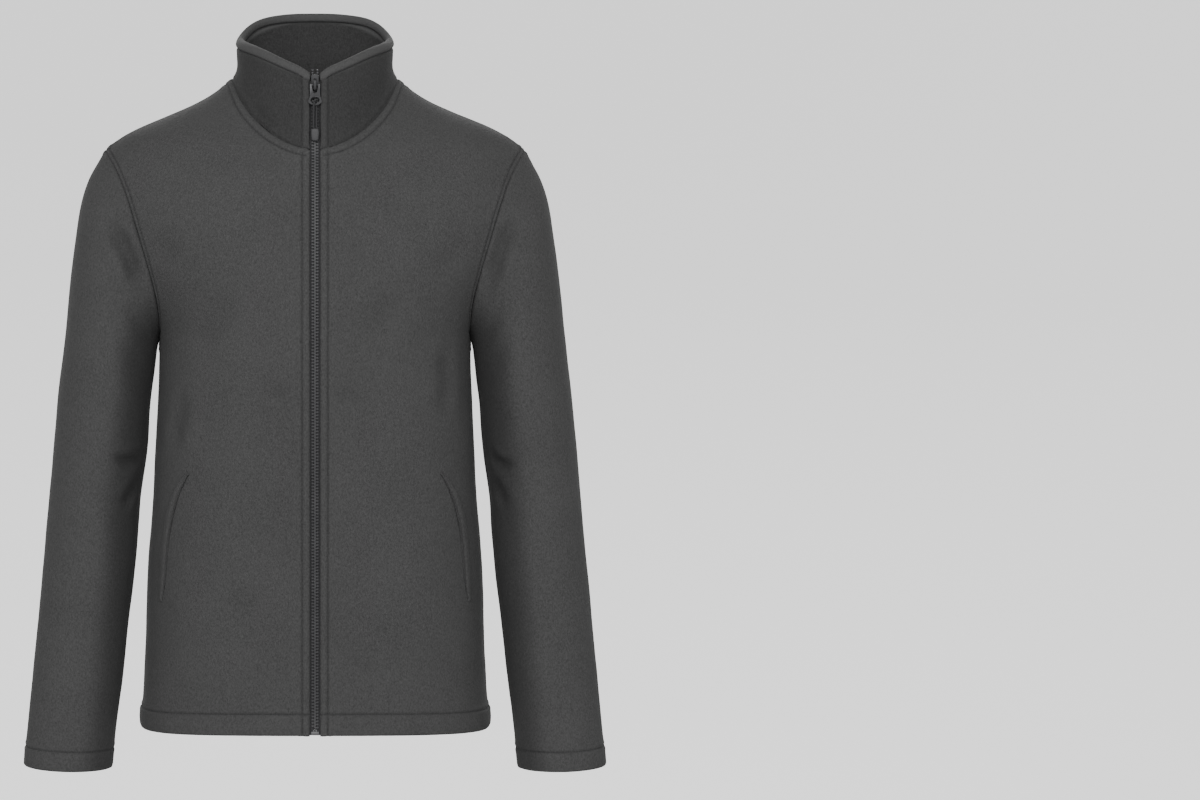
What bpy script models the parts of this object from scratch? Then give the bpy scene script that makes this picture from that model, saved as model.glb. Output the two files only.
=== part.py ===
"""A fleece zip jacket, filled out as if it were worn, with nobody inside.

Metres, +Z up.  The fronts face -Y and the wearer's left arm is at +X.  The origin is the middle
of the neck opening, level with the high points of the shoulders, so everything hangs below it
but the collar.  Every piece of cloth is a wall between an outer and an inner grid of points.
"""

import math
from collections import namedtuple

import bmesh
import bpy
from mathutils import Matrix, Vector

# ---------------------------------------------------------------- driving sizes
SEAM_GAP = 0.0003  # between pieces that are sewn or pressed together
FLEECE = 0.0028  # one layer of fleece
COLLAR_WALL = 0.0062  # the folded collar, two layers and the air in the pile
DOUBLED = 1.9  # the hem and the cuffs are turned up, which nearly doubles the wall

FRONT_EDGE = 0.0055  # from the middle of the zip to each front's folded edge
NECK_HALF = 0.0885  # half the width of the neck seam
NECK_FRONT = 0.092  # how far forward of the origin the neck seam comes
NECK_BACK = 0.062
NECK_DROP = -0.0735  # height of the neck seam at the zip
NECK_RISE = 0.003  # and at the middle of the back
SHOULDER = -0.0753  # height of the shoulder point, the top of the armhole
UNDERARM = -0.270  # height of the lowest point of the armhole
HEM_SIDE = -0.691
HEM_FRONT = -0.6835
HEM_BACK = -0.690

ARM_FRONT_DEPTH = 0.064  # how far forward of the shoulder line the armhole bows
ARM_BACK_DEPTH = 0.064
ARM_POINT = 1.25  # over 1 the upper half of the armhole is less round than an oval
ARM_STEPS = 12  # points on half of the armhole
SLEEVE_SINK = 0.0012  # the sleeve lies this much below the body's seam edge

PANEL_COLUMNS = 12  # from the zip, or the middle of the back, to the side
HEM_HEIGHTS = (0.0, 0.010, 0.0205, 0.0250, 0.034)  # rows over the hem's edge
BODY_ROWS = 9  # rows from there to the underarm
PLACKET = (0.0180, 0.0215)  # the front's two columns of points just past the zip's tape
MERGE = 0.000001

# ---------------------------------------------------------------- shapes, row by row
Side = namedtuple("Side", "height half_width")
SIDES = (  # the side seam's outline, from the hem to the underarm
    Side(-0.6920, 0.1878), Side(-0.6800, 0.1890), Side(-0.6700, 0.1880), Side(-0.6665, 0.1856),
    Side(-0.6550, 0.1842), Side(-0.6000, 0.1813), Side(-0.5350, 0.1799), Side(-0.5020, 0.1780),
    Side(-0.4700, 0.1748), Side(-0.4380, 0.1716), Side(-0.4050, 0.1706), Side(-0.3730, 0.1692),
    Side(-0.3400, 0.1670), Side(-0.3090, 0.1658), Side(-0.2700, 0.1655),
)

Slope = namedtuple("Slope", "height half_width")
SHOULDERS = (  # the shoulder seam, from the shoulder point to the neck
    Slope(-0.0753, 0.2229), Slope(-0.0730, 0.2208), Slope(-0.0700, 0.2178), Slope(-0.0541, 0.1908),
    Slope(-0.0383, 0.1530), Slope(-0.0224, 0.1180), Slope(-0.0140, 0.1047), Slope(-0.0076, 0.0966),
    Slope(0.0, NECK_HALF),
)

Girth = namedtuple("Girth", "height front back roundness")
GIRTHS = (  # how far the body stands forward and back of the side seams
    Girth(-0.6920, 0.1215, 0.1230, 2.30), Girth(-0.6700, 0.1215, 0.1232, 2.30),
    Girth(-0.6665, 0.1193, 0.1210, 2.30), Girth(-0.6550, 0.1190, 0.1200, 2.30),
    Girth(-0.5500, 0.1205, 0.1165, 2.30), Girth(-0.4500, 0.1235, 0.1165, 2.28),
    Girth(-0.3500, 0.1268, 0.1235, 2.24), Girth(-0.3000, 0.1276, 0.1265, 2.20),
    Girth(-0.2500, 0.1266, 0.1270, 2.15), Girth(-0.2000, 0.1234, 0.1250, 2.02),
    Girth(-0.1500, 0.1168, 0.1190, 1.90), Girth(-0.1100, 0.1066, 0.1105, 1.76),
    Girth(-0.0735, 0.0920, 0.0995, 1.66), Girth(-0.0500, 0.0830, 0.0905, 1.66),
    Girth(-0.0257, 0.0700, 0.0795, 1.75), Girth(-0.0100, 0.0500, 0.0700, 1.90),
    Girth(0.0030, 0.0300, 0.0620, 2.00),
)

Armhole = namedtuple("Armhole", "height front back")
ARMHOLES = (  # how far out the armhole seam runs, on the front and on the back
    Armhole(-0.2700, 0.1655, 0.1655), Armhole(-0.2500, 0.1642, 0.1668),
    Armhole(-0.2317, 0.1668, 0.1702), Armhole(-0.2100, 0.1718, 0.1765),
    Armhole(-0.1860, 0.1788, 0.1872), Armhole(-0.1500, 0.1890, 0.2025),
    Armhole(-0.1170, 0.2000, 0.2132), Armhole(-0.0950, 0.2095, 0.2185),
    Armhole(-0.0753, 0.2229, 0.2229),
)

Ring = namedtuple("Ring", "place outer_x outer_z inner_x inner_z front back shift")
SLEEVE = (  # the sleeve's rings: place along it, outer and inner edge, depths, and shift in y
    Ring(0.00, 0.2229, -0.0753, 0.1655, -0.2700, 0.0640, 0.0640, 0.000),
    Ring(0.03, 0.2310, -0.0880, 0.1665, -0.2735, 0.0650, 0.0650, 0.000),
    Ring(0.06, 0.2393, -0.1016, 0.1671, -0.2780, 0.0660, 0.0665, 0.000),
    Ring(0.10, 0.2452, -0.1174, 0.1677, -0.2840, 0.0675, 0.0685, 0.000),
    Ring(0.16, 0.2506, -0.1400, 0.1686, -0.2930, 0.0690, 0.0705, 0.001),
    Ring(0.24, 0.2566, -0.1808, 0.1705, -0.3080, 0.0705, 0.0720, 0.002),
    Ring(0.32, 0.2620, -0.2230, 0.1728, -0.3310, 0.0710, 0.0720, 0.003),
    Ring(0.40, 0.2671, -0.2761, 0.1758, -0.3640, 0.0700, 0.0705, 0.003),
    Ring(0.50, 0.2740, -0.3320, 0.1800, -0.4040, 0.0665, 0.0670, 0.001),
    Ring(0.60, 0.2806, -0.4040, 0.1849, -0.4560, 0.0620, 0.0620, -0.004),
    Ring(0.70, 0.2873, -0.4800, 0.1905, -0.5120, 0.0570, 0.0560, -0.011),
    Ring(0.80, 0.2948, -0.5640, 0.1984, -0.5820, 0.0510, 0.0500, -0.019),
    Ring(0.90, 0.3030, -0.6480, 0.2072, -0.6580, 0.0460, 0.0445, -0.026),
    Ring(0.965, 0.3086, -0.7070, 0.2140, -0.7110, 0.0425, 0.0415, -0.030),
    Ring(0.970, 0.3102, -0.7105, 0.2138, -0.7145, 0.0436, 0.0426, -0.030),
    Ring(1.00, 0.3116, -0.7315, 0.2160, -0.7345, 0.0430, 0.0420, -0.031),
)
SLEEVE_PLACES = (
    0.0, 0.03, 0.06, 0.10, 0.14, 0.18, 0.23, 0.28, 0.33, 0.38, 0.43, 0.48, 0.53, 0.58, 0.63,
    0.68, 0.73, 0.78, 0.83, 0.88, 0.93, 0.965, 0.970, 1.0,
)
SETTLED = 0.16  # from here down the sleeve no longer shows the armhole's own shape
CUFF_PLACE = 0.967  # below this the sleeve's wall is double

Fold = namedtuple("Fold", "place turn tilt length width depth")
SLEEVE_FOLDS = (  # soft creases: place along the sleeve, turn round it, tilt, and real sizes
    Fold(0.30, 150, 0.35, 0.050, 0.012, -0.0030), Fold(0.40, 165, -0.30, 0.045, 0.011, -0.0028),
    Fold(0.56, 185, 0.25, 0.055, 0.013, -0.0036), Fold(0.61, 150, -0.35, 0.050, 0.011, -0.0026),
    Fold(0.66, 200, 0.20, 0.045, 0.012, -0.0024), Fold(0.80, 170, 0.15, 0.050, 0.014, -0.0018),
)
BODY_FOLDS = (  # the same on the body: height as place, turn from the side seam in degrees
    Fold(-0.300, 24, 0.9, 0.070, 0.014, -0.0030), Fold(-0.345, 17, 0.6, 0.060, 0.013, -0.0022),
    Fold(-0.470, 20, -0.5, 0.080, 0.018, -0.0022), Fold(-0.590, 26, -0.3, 0.090, 0.020, -0.0020),
)

CollarStation = namedtuple("CollarStation", "turn top wall")
COLLAR = (  # turn from the zip in degrees, height of the top edge, thickness of the wall
    CollarStation(3.56, 0.0055, FLEECE), CollarStation(10.5, 0.0115, FLEECE),
    CollarStation(12.5, 0.0128, COLLAR_WALL), CollarStation(20.0, 0.0170, COLLAR_WALL),
    CollarStation(30.0, 0.0228, COLLAR_WALL),
    CollarStation(40.0, 0.0285, COLLAR_WALL), CollarStation(50.0, 0.0328, COLLAR_WALL),
    CollarStation(60.0, 0.0360, COLLAR_WALL), CollarStation(70.0, 0.0385, COLLAR_WALL),
    CollarStation(80.0, 0.0410, COLLAR_WALL), CollarStation(86.0, 0.0426, COLLAR_WALL),
    CollarStation(90.0, 0.0437, COLLAR_WALL), CollarStation(100.0, 0.0472, COLLAR_WALL),
    CollarStation(110.0, 0.0528, COLLAR_WALL), CollarStation(120.0, 0.0588, COLLAR_WALL),
    CollarStation(130.0, 0.0638, COLLAR_WALL), CollarStation(140.0, 0.0672, COLLAR_WALL),
    CollarStation(155.0, 0.0700, COLLAR_WALL), CollarStation(167.5, 0.0710, COLLAR_WALL),
    CollarStation(180.0, 0.0712, COLLAR_WALL),
)
Face = namedtuple("Face", "height half_width front back")
COLLAR_FACE = (  # the collar's outer face, by its share of the height
    Face(0.00, 0.0885, 0.0920, 0.0620), Face(0.15, 0.0838, 0.0910, 0.0600),
    Face(0.33, 0.0822, 0.0905, 0.0590), Face(0.60, 0.0832, 0.0905, 0.0590),
    Face(0.85, 0.0826, 0.0905, 0.0585), Face(1.00, 0.0815, 0.0905, 0.0580),
)
ROLL = 0.0100  # height of the rolled top edge
ROLL_SWELL = 0.0016  # how far the roll stands out over the collar on each side
GROOVE = 0.0012  # depth of the sewn groove under the roll
FACE_SHARES = (0.0, 0.14, 0.30, 0.50, 0.70)  # points up the collar's face, under the groove

TAPE = 0.0008  # the zip's woven tape
TAPE_REACH = (0.0045, 0.0138)  # from the zip's middle to the tape's two edges
TAPE_GAP = 0.0005
CHAIN_REACH = (0.00015, 0.0042)
CHAIN_HALF = 0.0013  # half the thickness of the teeth
CHAIN_TOP = -0.0060
TAPE_TOP = -0.0060
ZIP_FOOT = 0.0060  # height of the box at the zip's foot

SLIDER_TOP = 0.0035
SLIDER_MIDDLE = -0.0040  # the height at which the slider's depth is read
SLIDER_FOOT = -0.0125
SLIDER_HALF = 0.0041
SLIDER_PLATE = 0.0014
BAIL_HALF = 0.0013
BAIL_THICK = 0.0012
BAIL_TOP = -0.0010
BAIL_FOOT = -0.0142
BAIL_STAND = 0.0052  # how far the bail's bow stands in front of the slider's plate
BAIL_BEND = 0.0031
POST_HALF = 0.0016
AXIS_Z = -0.0080
AXIS_STAND = 0.0026  # the tab's pin, in front of the slider's plate
PIN_RADIUS = 0.0007
TAB_THICK = 0.0016

TabHalf = namedtuple("TabHalf", "drop half_width")
TAB_OUTLINE = (  # half of the tab's outline, from the top of an arm to the foot
    TabHalf(-0.0012, 0.0050), TabHalf(0.0010, 0.0054), TabHalf(0.0060, 0.0053),
    TabHalf(0.0110, 0.0054), TabHalf(0.0146, 0.0064), TabHalf(0.0166, 0.0071),
    TabHalf(0.0178, 0.0069), TabHalf(0.0194, 0.0050), TabHalf(0.0205, 0.0026),
    TabHalf(0.0208, 0.0),
)
TAB_SLOT = (  # half of the slot between the arms, from its top to its pointed foot
    TabHalf(-0.0012, 0.0032), TabHalf(0.0030, 0.0030), TabHalf(0.0065, 0.0021),
    TabHalf(0.0086, 0.0008),
)
TAB_HOLE_DROP = 0.0156
TAB_HOLE = (0.0047, 0.0034)  # half width and half height of the oval hole

CORD_RADIUS = 0.0012
CORD_SPREAD = 0.0014  # from the middle to each of the two strands
CORD_LOOP = 0.0024  # radius of the bight through the tab's hole
CORD_FOOT = -0.0522
END_FOOT = -0.0656
END_HALF = 0.0044
END_DEPTH = 0.0022
END_PROFILE = ((0.0, 0.74), (0.12, 0.93), (0.35, 1.0), (0.7, 0.93), (0.9, 0.78), (1.0, 0.55))

POCKET_TOP = -0.4120  # height of the pocket opening's upper end
POCKET_FOOT = -0.5500
POCKET_BAND = 0.0075  # width of its turned edge
POCKET_RAISE = 0.0014  # thickness of that edge
POCKET_CLEAR = 0.0002  # added under it, where the front's flat faces cut its own curve
Pocket = namedtuple("Pocket", "height outward")
POCKETS = (  # the opening's line, from its foot to its upper end
    Pocket(-0.5500, 0.1655), Pocket(-0.5150, 0.1640), Pocket(-0.4850, 0.1610),
    Pocket(-0.4620, 0.1570), Pocket(-0.4400, 0.1508), Pocket(-0.4240, 0.1430),
    Pocket(-0.4120, 0.1345),
)
POCKET_STEPS = 12

PATCH_REACH = 0.089  # half the width of the half-moon inside the back of the neck
PATCH_DROP = -0.0690
PATCH_THICK = 0.0015
PATCH_ROWS = 6

COLLECTION = "fleece_zip_jacket"


# ---------------------------------------------------------------- reading the tables
def along(table, column, place):
    """Read a column at a place, on a smooth curve that never overshoots its rows."""
    places = [row[0] for row in table]
    values = [getattr(row, column) for row in table]
    if place <= places[0]:
        return values[0]
    if place >= places[-1]:
        return values[-1]
    rates = [
        (values[i + 1] - values[i]) / (places[i + 1] - places[i]) for i in range(len(places) - 1)
    ]

    def slope(i):
        if i == 0 or i == len(places) - 1:
            return rates[min(i, len(rates) - 1)]
        before, after = rates[i - 1], rates[i]
        return 2 * before * after / (before + after) if before * after > 0 else 0.0

    i = max(k for k in range(len(places) - 1) if places[k] <= place)
    span = places[i + 1] - places[i]
    t = (place - places[i]) / span
    return (
        values[i] * (2 * t**3 - 3 * t**2 + 1)
        + span * slope(i) * (t**3 - 2 * t**2 + t)
        + values[i + 1] * (3 * t**2 - 2 * t**3)
        + span * slope(i + 1) * (t**3 - t**2)
    )


def mix(a, b, share):
    return a + (b - a) * share


def smooth(share):
    share = min(max(share, 0.0), 1.0)
    return share * share * (3 - 2 * share)


# ---------------------------------------------------------------- the body's surface
def armhole_turn(height):
    """The angle round the armhole at a height, 0 at the shoulder point."""
    middle = (SHOULDER + UNDERARM) / 2
    half = (SHOULDER - UNDERARM) / 2
    return math.acos(min(max((height - middle) / half, -1.0), 1.0))


def armhole_height(turn):
    return (SHOULDER + UNDERARM) / 2 + (SHOULDER - UNDERARM) / 2 * math.cos(turn)


def armhole_out(height, facing):
    return along(ARMHOLES, "front" if facing < 0 else "back", height)


def neck_turn(height):
    """The angle from the zip of the front neck seam's point at a height."""
    return math.acos(min(max(height / NECK_DROP, 0.0), 1.0) ** (1 / 1.5))


def neckline(turn):
    """The neck seam, by its angle from the zip: 0 in front, half a circle at the back."""
    forward = math.cos(turn)
    if forward >= 0:
        return Vector((NECK_HALF * math.sin(turn), -NECK_FRONT * forward, NECK_DROP * forward**1.5))
    return Vector((NECK_HALF * math.sin(turn), -NECK_BACK * forward, NECK_RISE * forward**2))


def depth(height, facing):
    """How far the body stands forward or back of its side seam."""
    if facing < 0 and height > NECK_DROP:
        turn = min(neck_turn(height), math.radians(88))
        seam = neckline(turn)
        power = along(GIRTHS, "roundness", height)
        return -seam.y / (1 - (seam.x / half_width(height, facing)) ** power) ** (1 / power)
    return along(GIRTHS, "front" if facing < 0 else "back", height)


def half_width(height, facing):
    """Half the width of the body's ring, which runs on behind the armhole."""
    if height >= SHOULDER:
        return along(SHOULDERS, "half_width", height)
    if height <= UNDERARM:
        return along(SIDES, "half_width", height)
    bow = ARM_FRONT_DEPTH if facing < 0 else ARM_BACK_DEPTH
    turn = armhole_turn(height)
    swell = math.sin(turn) ** (ARM_POINT if turn < math.pi / 2 else 1.0)
    power = along(GIRTHS, "roundness", height)
    share = bow * swell / depth(height, facing)
    return armhole_out(height, facing) / (1 - share**power) ** (1 / power)


def fold_depth(folds, place, turn, girth, run):
    """The depth of the soft creases at a place, from their rows of real sizes."""
    total = 0.0
    for fold in folds:
        across = (turn - math.radians(fold.turn)) * girth
        up = (place - fold.place) * run
        lengthways = across * math.cos(fold.tilt) + up * math.sin(fold.tilt)
        sideways = up * math.cos(fold.tilt) - across * math.sin(fold.tilt)
        spread = (lengthways / fold.length) ** 2 + (sideways / fold.width) ** 2
        total += fold.depth * math.exp(-spread)
    return total


def body_fold(height, turn, facing):
    """Creases that fade to nothing at the side seam and at the armhole."""
    if height > UNDERARM:
        return 0.0
    from_side = math.pi / 2 - turn
    fade = smooth(from_side / math.radians(12)) * smooth((UNDERARM - height) / 0.02)
    strength = 1.0 if facing < 0 else 1.3
    return strength * fade * fold_depth(BODY_FOLDS, height, from_side, 0.15, 1.0)


def body_point(height, turn, side, facing, creased=True):
    """A point on the body's outer face; turn is 0 at the middle and a quarter circle at the side."""
    power = 2 / along(GIRTHS, "roundness", height)
    out = half_width(height, facing) * math.sin(turn) ** power
    forward = depth(height, facing) * max(math.cos(turn), 0.0) ** power
    if creased:
        forward += body_fold(height, turn, facing) * math.cos(turn)
    forward = max(forward, SEAM_GAP / 2)
    return Vector((side * out, facing * forward, height))


def body_turn(height, out, facing):
    """The turn at which the body's ring is this far out."""
    share = min(out / half_width(height, facing), 1.0)
    return math.asin(share ** (along(GIRTHS, "roundness", height) / 2))


def body_field(point, facing):
    power = along(GIRTHS, "roundness", point.z)
    return (abs(point.x) / half_width(point.z, facing)) ** power + (
        abs(point.y) / depth(point.z, facing)
    ) ** power


def body_normal(point, facing):
    """The outward normal of the body's surface, from its equation."""
    step = 0.0004
    steps = (Vector((step, 0, 0)), Vector((0, step, 0)), Vector((0, 0, step)))
    slopes = [body_field(point + s, facing) - body_field(point - s, facing) for s in steps]
    if abs(point.y) < step:
        slopes[1] = 0.0
    return Vector(slopes).normalized()


# ---------------------------------------------------------------- making solids
def collection():
    found = bpy.data.collections.get(COLLECTION)
    if not found:
        found = bpy.data.collections.new(COLLECTION)
        bpy.context.scene.collection.children.link(found)
    return found


def material(name, colour, roughness, metallic=0.0):
    """A plain Principled material for one piece."""
    made = bpy.data.materials.new(name)
    made.use_nodes = True
    shader = made.node_tree.nodes["Principled BSDF"]
    shader.inputs["Base Color"].default_value = (*colour, 1.0)
    shader.inputs["Roughness"].default_value = roughness
    shader.inputs["Metallic"].default_value = metallic
    return made


FINISHES = {
    "fleece": ((0.072, 0.072, 0.074), 0.95, 0.0),
    "tape": ((0.030, 0.030, 0.032), 0.85, 0.0),
    "teeth": ((0.035, 0.035, 0.037), 0.45, 0.0),
    "metal": ((0.120, 0.120, 0.125), 0.42, 0.7),
    "cord": ((0.050, 0.050, 0.052), 0.80, 0.0),
    "rubber": ((0.110, 0.110, 0.112), 0.60, 0.0),
}


def add_object(name, mesh, finish):
    """Put a mesh in the jacket's collection, with its own material."""
    made = bpy.data.objects.new(name, mesh)
    mesh.materials.clear()
    mesh.materials.append(material(name + "_" + finish, *FINISHES[finish]))
    mesh.shade_smooth()
    mesh.set_sharp_from_angle(angle=math.radians(50))
    collection().objects.link(made)
    return made


def close_wall(name, outer, inner, finish, ring=False):
    """A closed wall between two grids of points, each a list of rows; a ring's rows go round."""
    mesh = bpy.data.meshes.new(name)
    shape = bmesh.new()
    faces = [[[shape.verts.new(point) for point in row] for row in grid] for grid in (outer, inner)]
    rows, columns = len(outer), len(outer[0])
    strips = columns if ring else columns - 1
    for grid in faces:
        for i in range(rows - 1):
            for j in range(strips):
                k = (j + 1) % columns
                shape.faces.new((grid[i][j], grid[i][k], grid[i + 1][k], grid[i + 1][j]))
    for i in (0, rows - 1):
        for j in range(strips):
            k = (j + 1) % columns
            shape.faces.new((faces[0][i][j], faces[0][i][k], faces[1][i][k], faces[1][i][j]))
    if not ring:
        for j in (0, columns - 1):
            for i in range(rows - 1):
                corner = (faces[0][i][j], faces[0][i + 1][j], faces[1][i + 1][j], faces[1][i][j])
                shape.faces.new(corner)
    bmesh.ops.recalc_face_normals(shape, faces=shape.faces)
    shape.to_mesh(mesh)
    shape.free()
    return add_object(name, mesh, finish)


def loft(name, sections, finish):
    """A closed solid through rings of points, capped at both ends."""
    mesh = bpy.data.meshes.new(name)
    shape = bmesh.new()
    rings = [[shape.verts.new(point) for point in section] for section in sections]
    size = len(rings[0])
    for a, b in zip(rings, rings[1:]):
        for j in range(size):
            k = (j + 1) % size
            shape.faces.new((a[j], a[k], b[k], b[j]))
    shape.faces.new(rings[0])
    shape.faces.new(rings[-1])
    bmesh.ops.recalc_face_normals(shape, faces=shape.faces)
    shape.to_mesh(mesh)
    shape.free()
    return add_object(name, mesh, finish)


def add_box(name, low, high, finish, bevel=0.0):
    """A box between two corners, with rounded edges."""
    mesh = bpy.data.meshes.new(name)
    shape = bmesh.new()
    bmesh.ops.create_cube(shape, size=1.0)
    size = Vector(high) - Vector(low)
    bmesh.ops.scale(shape, vec=size, verts=shape.verts)
    bmesh.ops.translate(shape, vec=(Vector(low) + Vector(high)) / 2, verts=shape.verts)
    shape.to_mesh(mesh)
    shape.free()
    made = add_object(name, mesh, finish)
    if bevel:
        rounding = made.modifiers.new("rounding", "BEVEL")
        rounding.width = bevel
        rounding.segments = 2
    return made


def evaluated_mesh(source):
    """A mesh copy of an object as its modifiers leave it, with doubled points merged."""
    graph = bpy.context.evaluated_depsgraph_get()
    mesh = bpy.data.meshes.new_from_object(source.evaluated_get(graph))
    shape = bmesh.new()
    shape.from_mesh(mesh)
    bmesh.ops.transform(shape, matrix=source.matrix_world, verts=shape.verts)
    bmesh.ops.remove_doubles(shape, verts=shape.verts, dist=MERGE)
    bmesh.ops.recalc_face_normals(shape, faces=shape.faces)
    shape.to_mesh(mesh)
    shape.free()
    return mesh


def unite(base, others):
    """Join solids to a base with exact unions, and take the others away."""
    for other in others:
        union = base.modifiers.new("union", "BOOLEAN")
        union.operation = "UNION"
        union.object = other
        bpy.context.view_layer.update()
        old = base.data
        base.data = evaluated_mesh(base)
        base.modifiers.clear()
        bpy.data.meshes.remove(old)
        bpy.data.objects.remove(other)
    return base


# ---------------------------------------------------------------- fronts and back
def lower_rows(facing):
    """Rows from the hem to the underarm, as functions of how far round they are."""
    middle = HEM_FRONT if facing < 0 else HEM_BACK
    shares = [i / BODY_ROWS for i in range(1, BODY_ROWS + 1)]

    def row(rise=0.0, share=0.0):
        def height(turn):
            hem = mix(HEM_SIDE, middle, math.cos(turn) ** 2)
            return mix(hem + rise, UNDERARM, share)

        return height

    rises = [row(rise=rise) for rise in HEM_HEIGHTS]
    return rises + [row(rise=HEM_HEIGHTS[-1], share=share) for share in shares]


def arm_heights():
    turns = [math.pi * (1 - i / ARM_STEPS) for i in range(1, ARM_STEPS + 1)]
    return [armhole_height(turn) for turn in turns]


def neck_rows(facing):
    """Rows over the shoulder point, by their heights at the neck or middle and at the shoulder seam."""
    seam = [neckline(math.radians(s.turn)).z for s in COLLAR if s.turn < 88]
    outer = [mix(SHOULDER, seam[-1], (i + 1) / len(seam)) for i in range(len(seam))]
    return list(zip(seam if facing < 0 else outer, outer))


def shares_across():
    """Even shares across a panel."""
    return [i / (PANEL_COLUMNS - 1) for i in range(PANEL_COLUMNS)]


def panel_grid(facing, side):
    """The points and normals of half of the body, rows from the hem up, from the middle out."""
    rows = []
    start = FRONT_EDGE if facing < 0 else 0.0
    for height_at in lower_rows(facing):
        mid = height_at(0.0)
        first = body_turn(mid, start, facing)
        turns = [mix(first, math.pi / 2, share) for share in shares_across()]
        if facing < 0:
            turns[1:3] = [body_turn(mid, out, facing) for out in PLACKET]
        rows.append([body_point(height_at(t), t, side, facing) for t in turns])
    for low, high in [(height, height) for height in arm_heights()] + neck_rows(facing):
        near, far = start, half_width(high, facing)
        if facing < 0 and low > NECK_DROP:
            near = neckline(neck_turn(low)).x
        if high < SHOULDER - MERGE:
            far = armhole_out(high, facing)
        first, last = body_turn(low, near, facing), body_turn(high, far, facing)
        turns = [mix(first, last, share) for share in shares_across()]
        if facing < 0 and low < NECK_DROP:
            turns[1:3] = [body_turn(low, out, facing) for out in PLACKET]
        heights = [mix(low, high, share) for share in shares_across()]
        rows.append([body_point(h, t, side, facing) for h, t in zip(heights, turns)])
    return rows


def inner_grid(rows, facing, side):
    """The same grid, one layer of fleece further in, and two in the hem."""
    inner = []
    for i, row in enumerate(rows):
        line = []
        for j, point in enumerate(row):
            doubled = i < 3 and (facing > 0 or j > 1)
            thickness = FLEECE * DOUBLED if doubled else FLEECE
            moved = point - body_normal(point, facing) * thickness
            moved.y = facing * max(facing * moved.y, SEAM_GAP / 2)
            if facing < 0 and j == 0 and abs(point.x) < FRONT_EDGE + MERGE:
                moved.x = point.x
            line.append(moved)
        inner.append(line)
    return inner


def build_front(name, side):
    rows = panel_grid(-1, side)
    return close_wall(name, rows, inner_grid(rows, -1, side), "fleece")


def back_grids():
    """Both halves of the back in one grid, with the neck seam as its top row."""
    left, right = panel_grid(1, -1), panel_grid(1, 1)
    rows = [list(reversed(a)) + b[1:] for a, b in zip(left, right)]
    inner_left, inner_right = inner_grid(left, 1, -1), inner_grid(right, 1, 1)
    inner = [list(reversed(a)) + b[1:] for a, b in zip(inner_left, inner_right)]
    seam, under = [], []
    steps = 2 * PANEL_COLUMNS - 2
    for i in range(steps + 1):
        turn = mix(math.pi / 2, math.pi * 1.5, i / steps)
        point = neckline(turn)
        point.x = -point.x
        point.y = max(point.y, SEAM_GAP / 2)
        normal = Vector((-math.sin(turn), -math.cos(turn), 0.9)).normalized()
        moved = point - normal * FLEECE
        moved.y = max(moved.y, SEAM_GAP / 2)
        seam.append(point)
        under.append(moved)
    return rows + [seam], inner + [under]


def build_back():
    outer, inner = back_grids()
    return close_wall("back", outer, inner, "fleece")


# ---------------------------------------------------------------- sleeves
def armhole_loop(side):
    """Points, normals and outward directions round the armhole, from the shoulder over the front."""
    loop = []
    for facing in (-1, 1):
        steps = range(ARM_STEPS + 1) if facing < 0 else range(ARM_STEPS - 1, 0, -1)
        for i in steps:
            height = armhole_height(math.pi * i / ARM_STEPS)
            turn = body_turn(height, armhole_out(height, facing), facing)
            if i in (0, ARM_STEPS):
                turn = math.pi / 2
            point = body_point(height, turn, side, facing, creased=False)
            normal = body_normal(point, facing)
            if i in (0, ARM_STEPS):
                point.y = 0.0
                normal = Vector((normal.x, 0.0, normal.z)).normalized()
            loop.append((point, normal))
    count = len(loop)
    framed = []
    for k, (point, normal) in enumerate(loop):
        tangent = loop[(k + 1) % count][0] - loop[k - 1][0]
        framed.append((point, normal, normal.cross(tangent).normalized() * side))
    return framed


def sleeve_ring(place, side):
    """A plain oval ring of the sleeve, with the same number of points as the armhole."""
    row = Ring(*[place] + [along(SLEEVE, column, place) for column in Ring._fields[1:]])
    middle = Vector(((row.outer_x + row.inner_x) / 2, row.shift, (row.outer_z + row.inner_z) / 2))
    arm = Vector((row.outer_x - row.inner_x, 0.0, row.outer_z - row.inner_z)) / 2
    ring = []
    for k in range(2 * ARM_STEPS):
        turn = math.pi * k / ARM_STEPS
        deep = row.front if turn <= math.pi else row.back
        point = middle + arm * math.cos(turn) - Vector((0, deep * math.sin(turn), 0))
        ring.append(Vector((side * point.x, point.y, point.z)))
    return ring


def sleeve_rings(side):
    """The sleeve's outer rings, the first of them along the armhole."""
    loop = armhole_loop(side)
    first = sleeve_ring(0.0, side)
    own = [point - plain for (point, _, _), plain in zip(loop, first)]
    rings = []
    for place in SLEEVE_PLACES:
        fade = 1 - smooth(place / SETTLED)
        ring = [point + shape * fade for point, shape in zip(sleeve_ring(place, side), own)]
        rings.append(ring)
    for i, place in enumerate(SLEEVE_PLACES):
        if not 0.2 < place < CUFF_PLACE:
            continue
        for k in range(2 * ARM_STEPS):
            turn = math.pi * k / ARM_STEPS
            inward = fold_depth(SLEEVE_FOLDS, place, turn, 0.062, 0.50)
            middle = sum(rings[i], Vector()) / (2 * ARM_STEPS)
            rings[i][k] = rings[i][k] + (rings[i][k] - middle).normalized() * inward
    return rings, loop


def ring_normal(rings, i, k):
    """The outward normal of a grid of rings at one point, from its neighbours."""
    count = len(rings[i])
    ahead, behind = rings[min(i + 1, len(rings) - 1)][k], rings[max(i - 1, 0)][k]
    round_it = rings[i][(k + 1) % count] - rings[i][k - 1]
    normal = round_it.cross(ahead - behind).normalized()
    middle = sum(rings[i], Vector()) / count
    return normal if normal.dot(rings[i][k] - middle) > 0 else -normal


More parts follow.
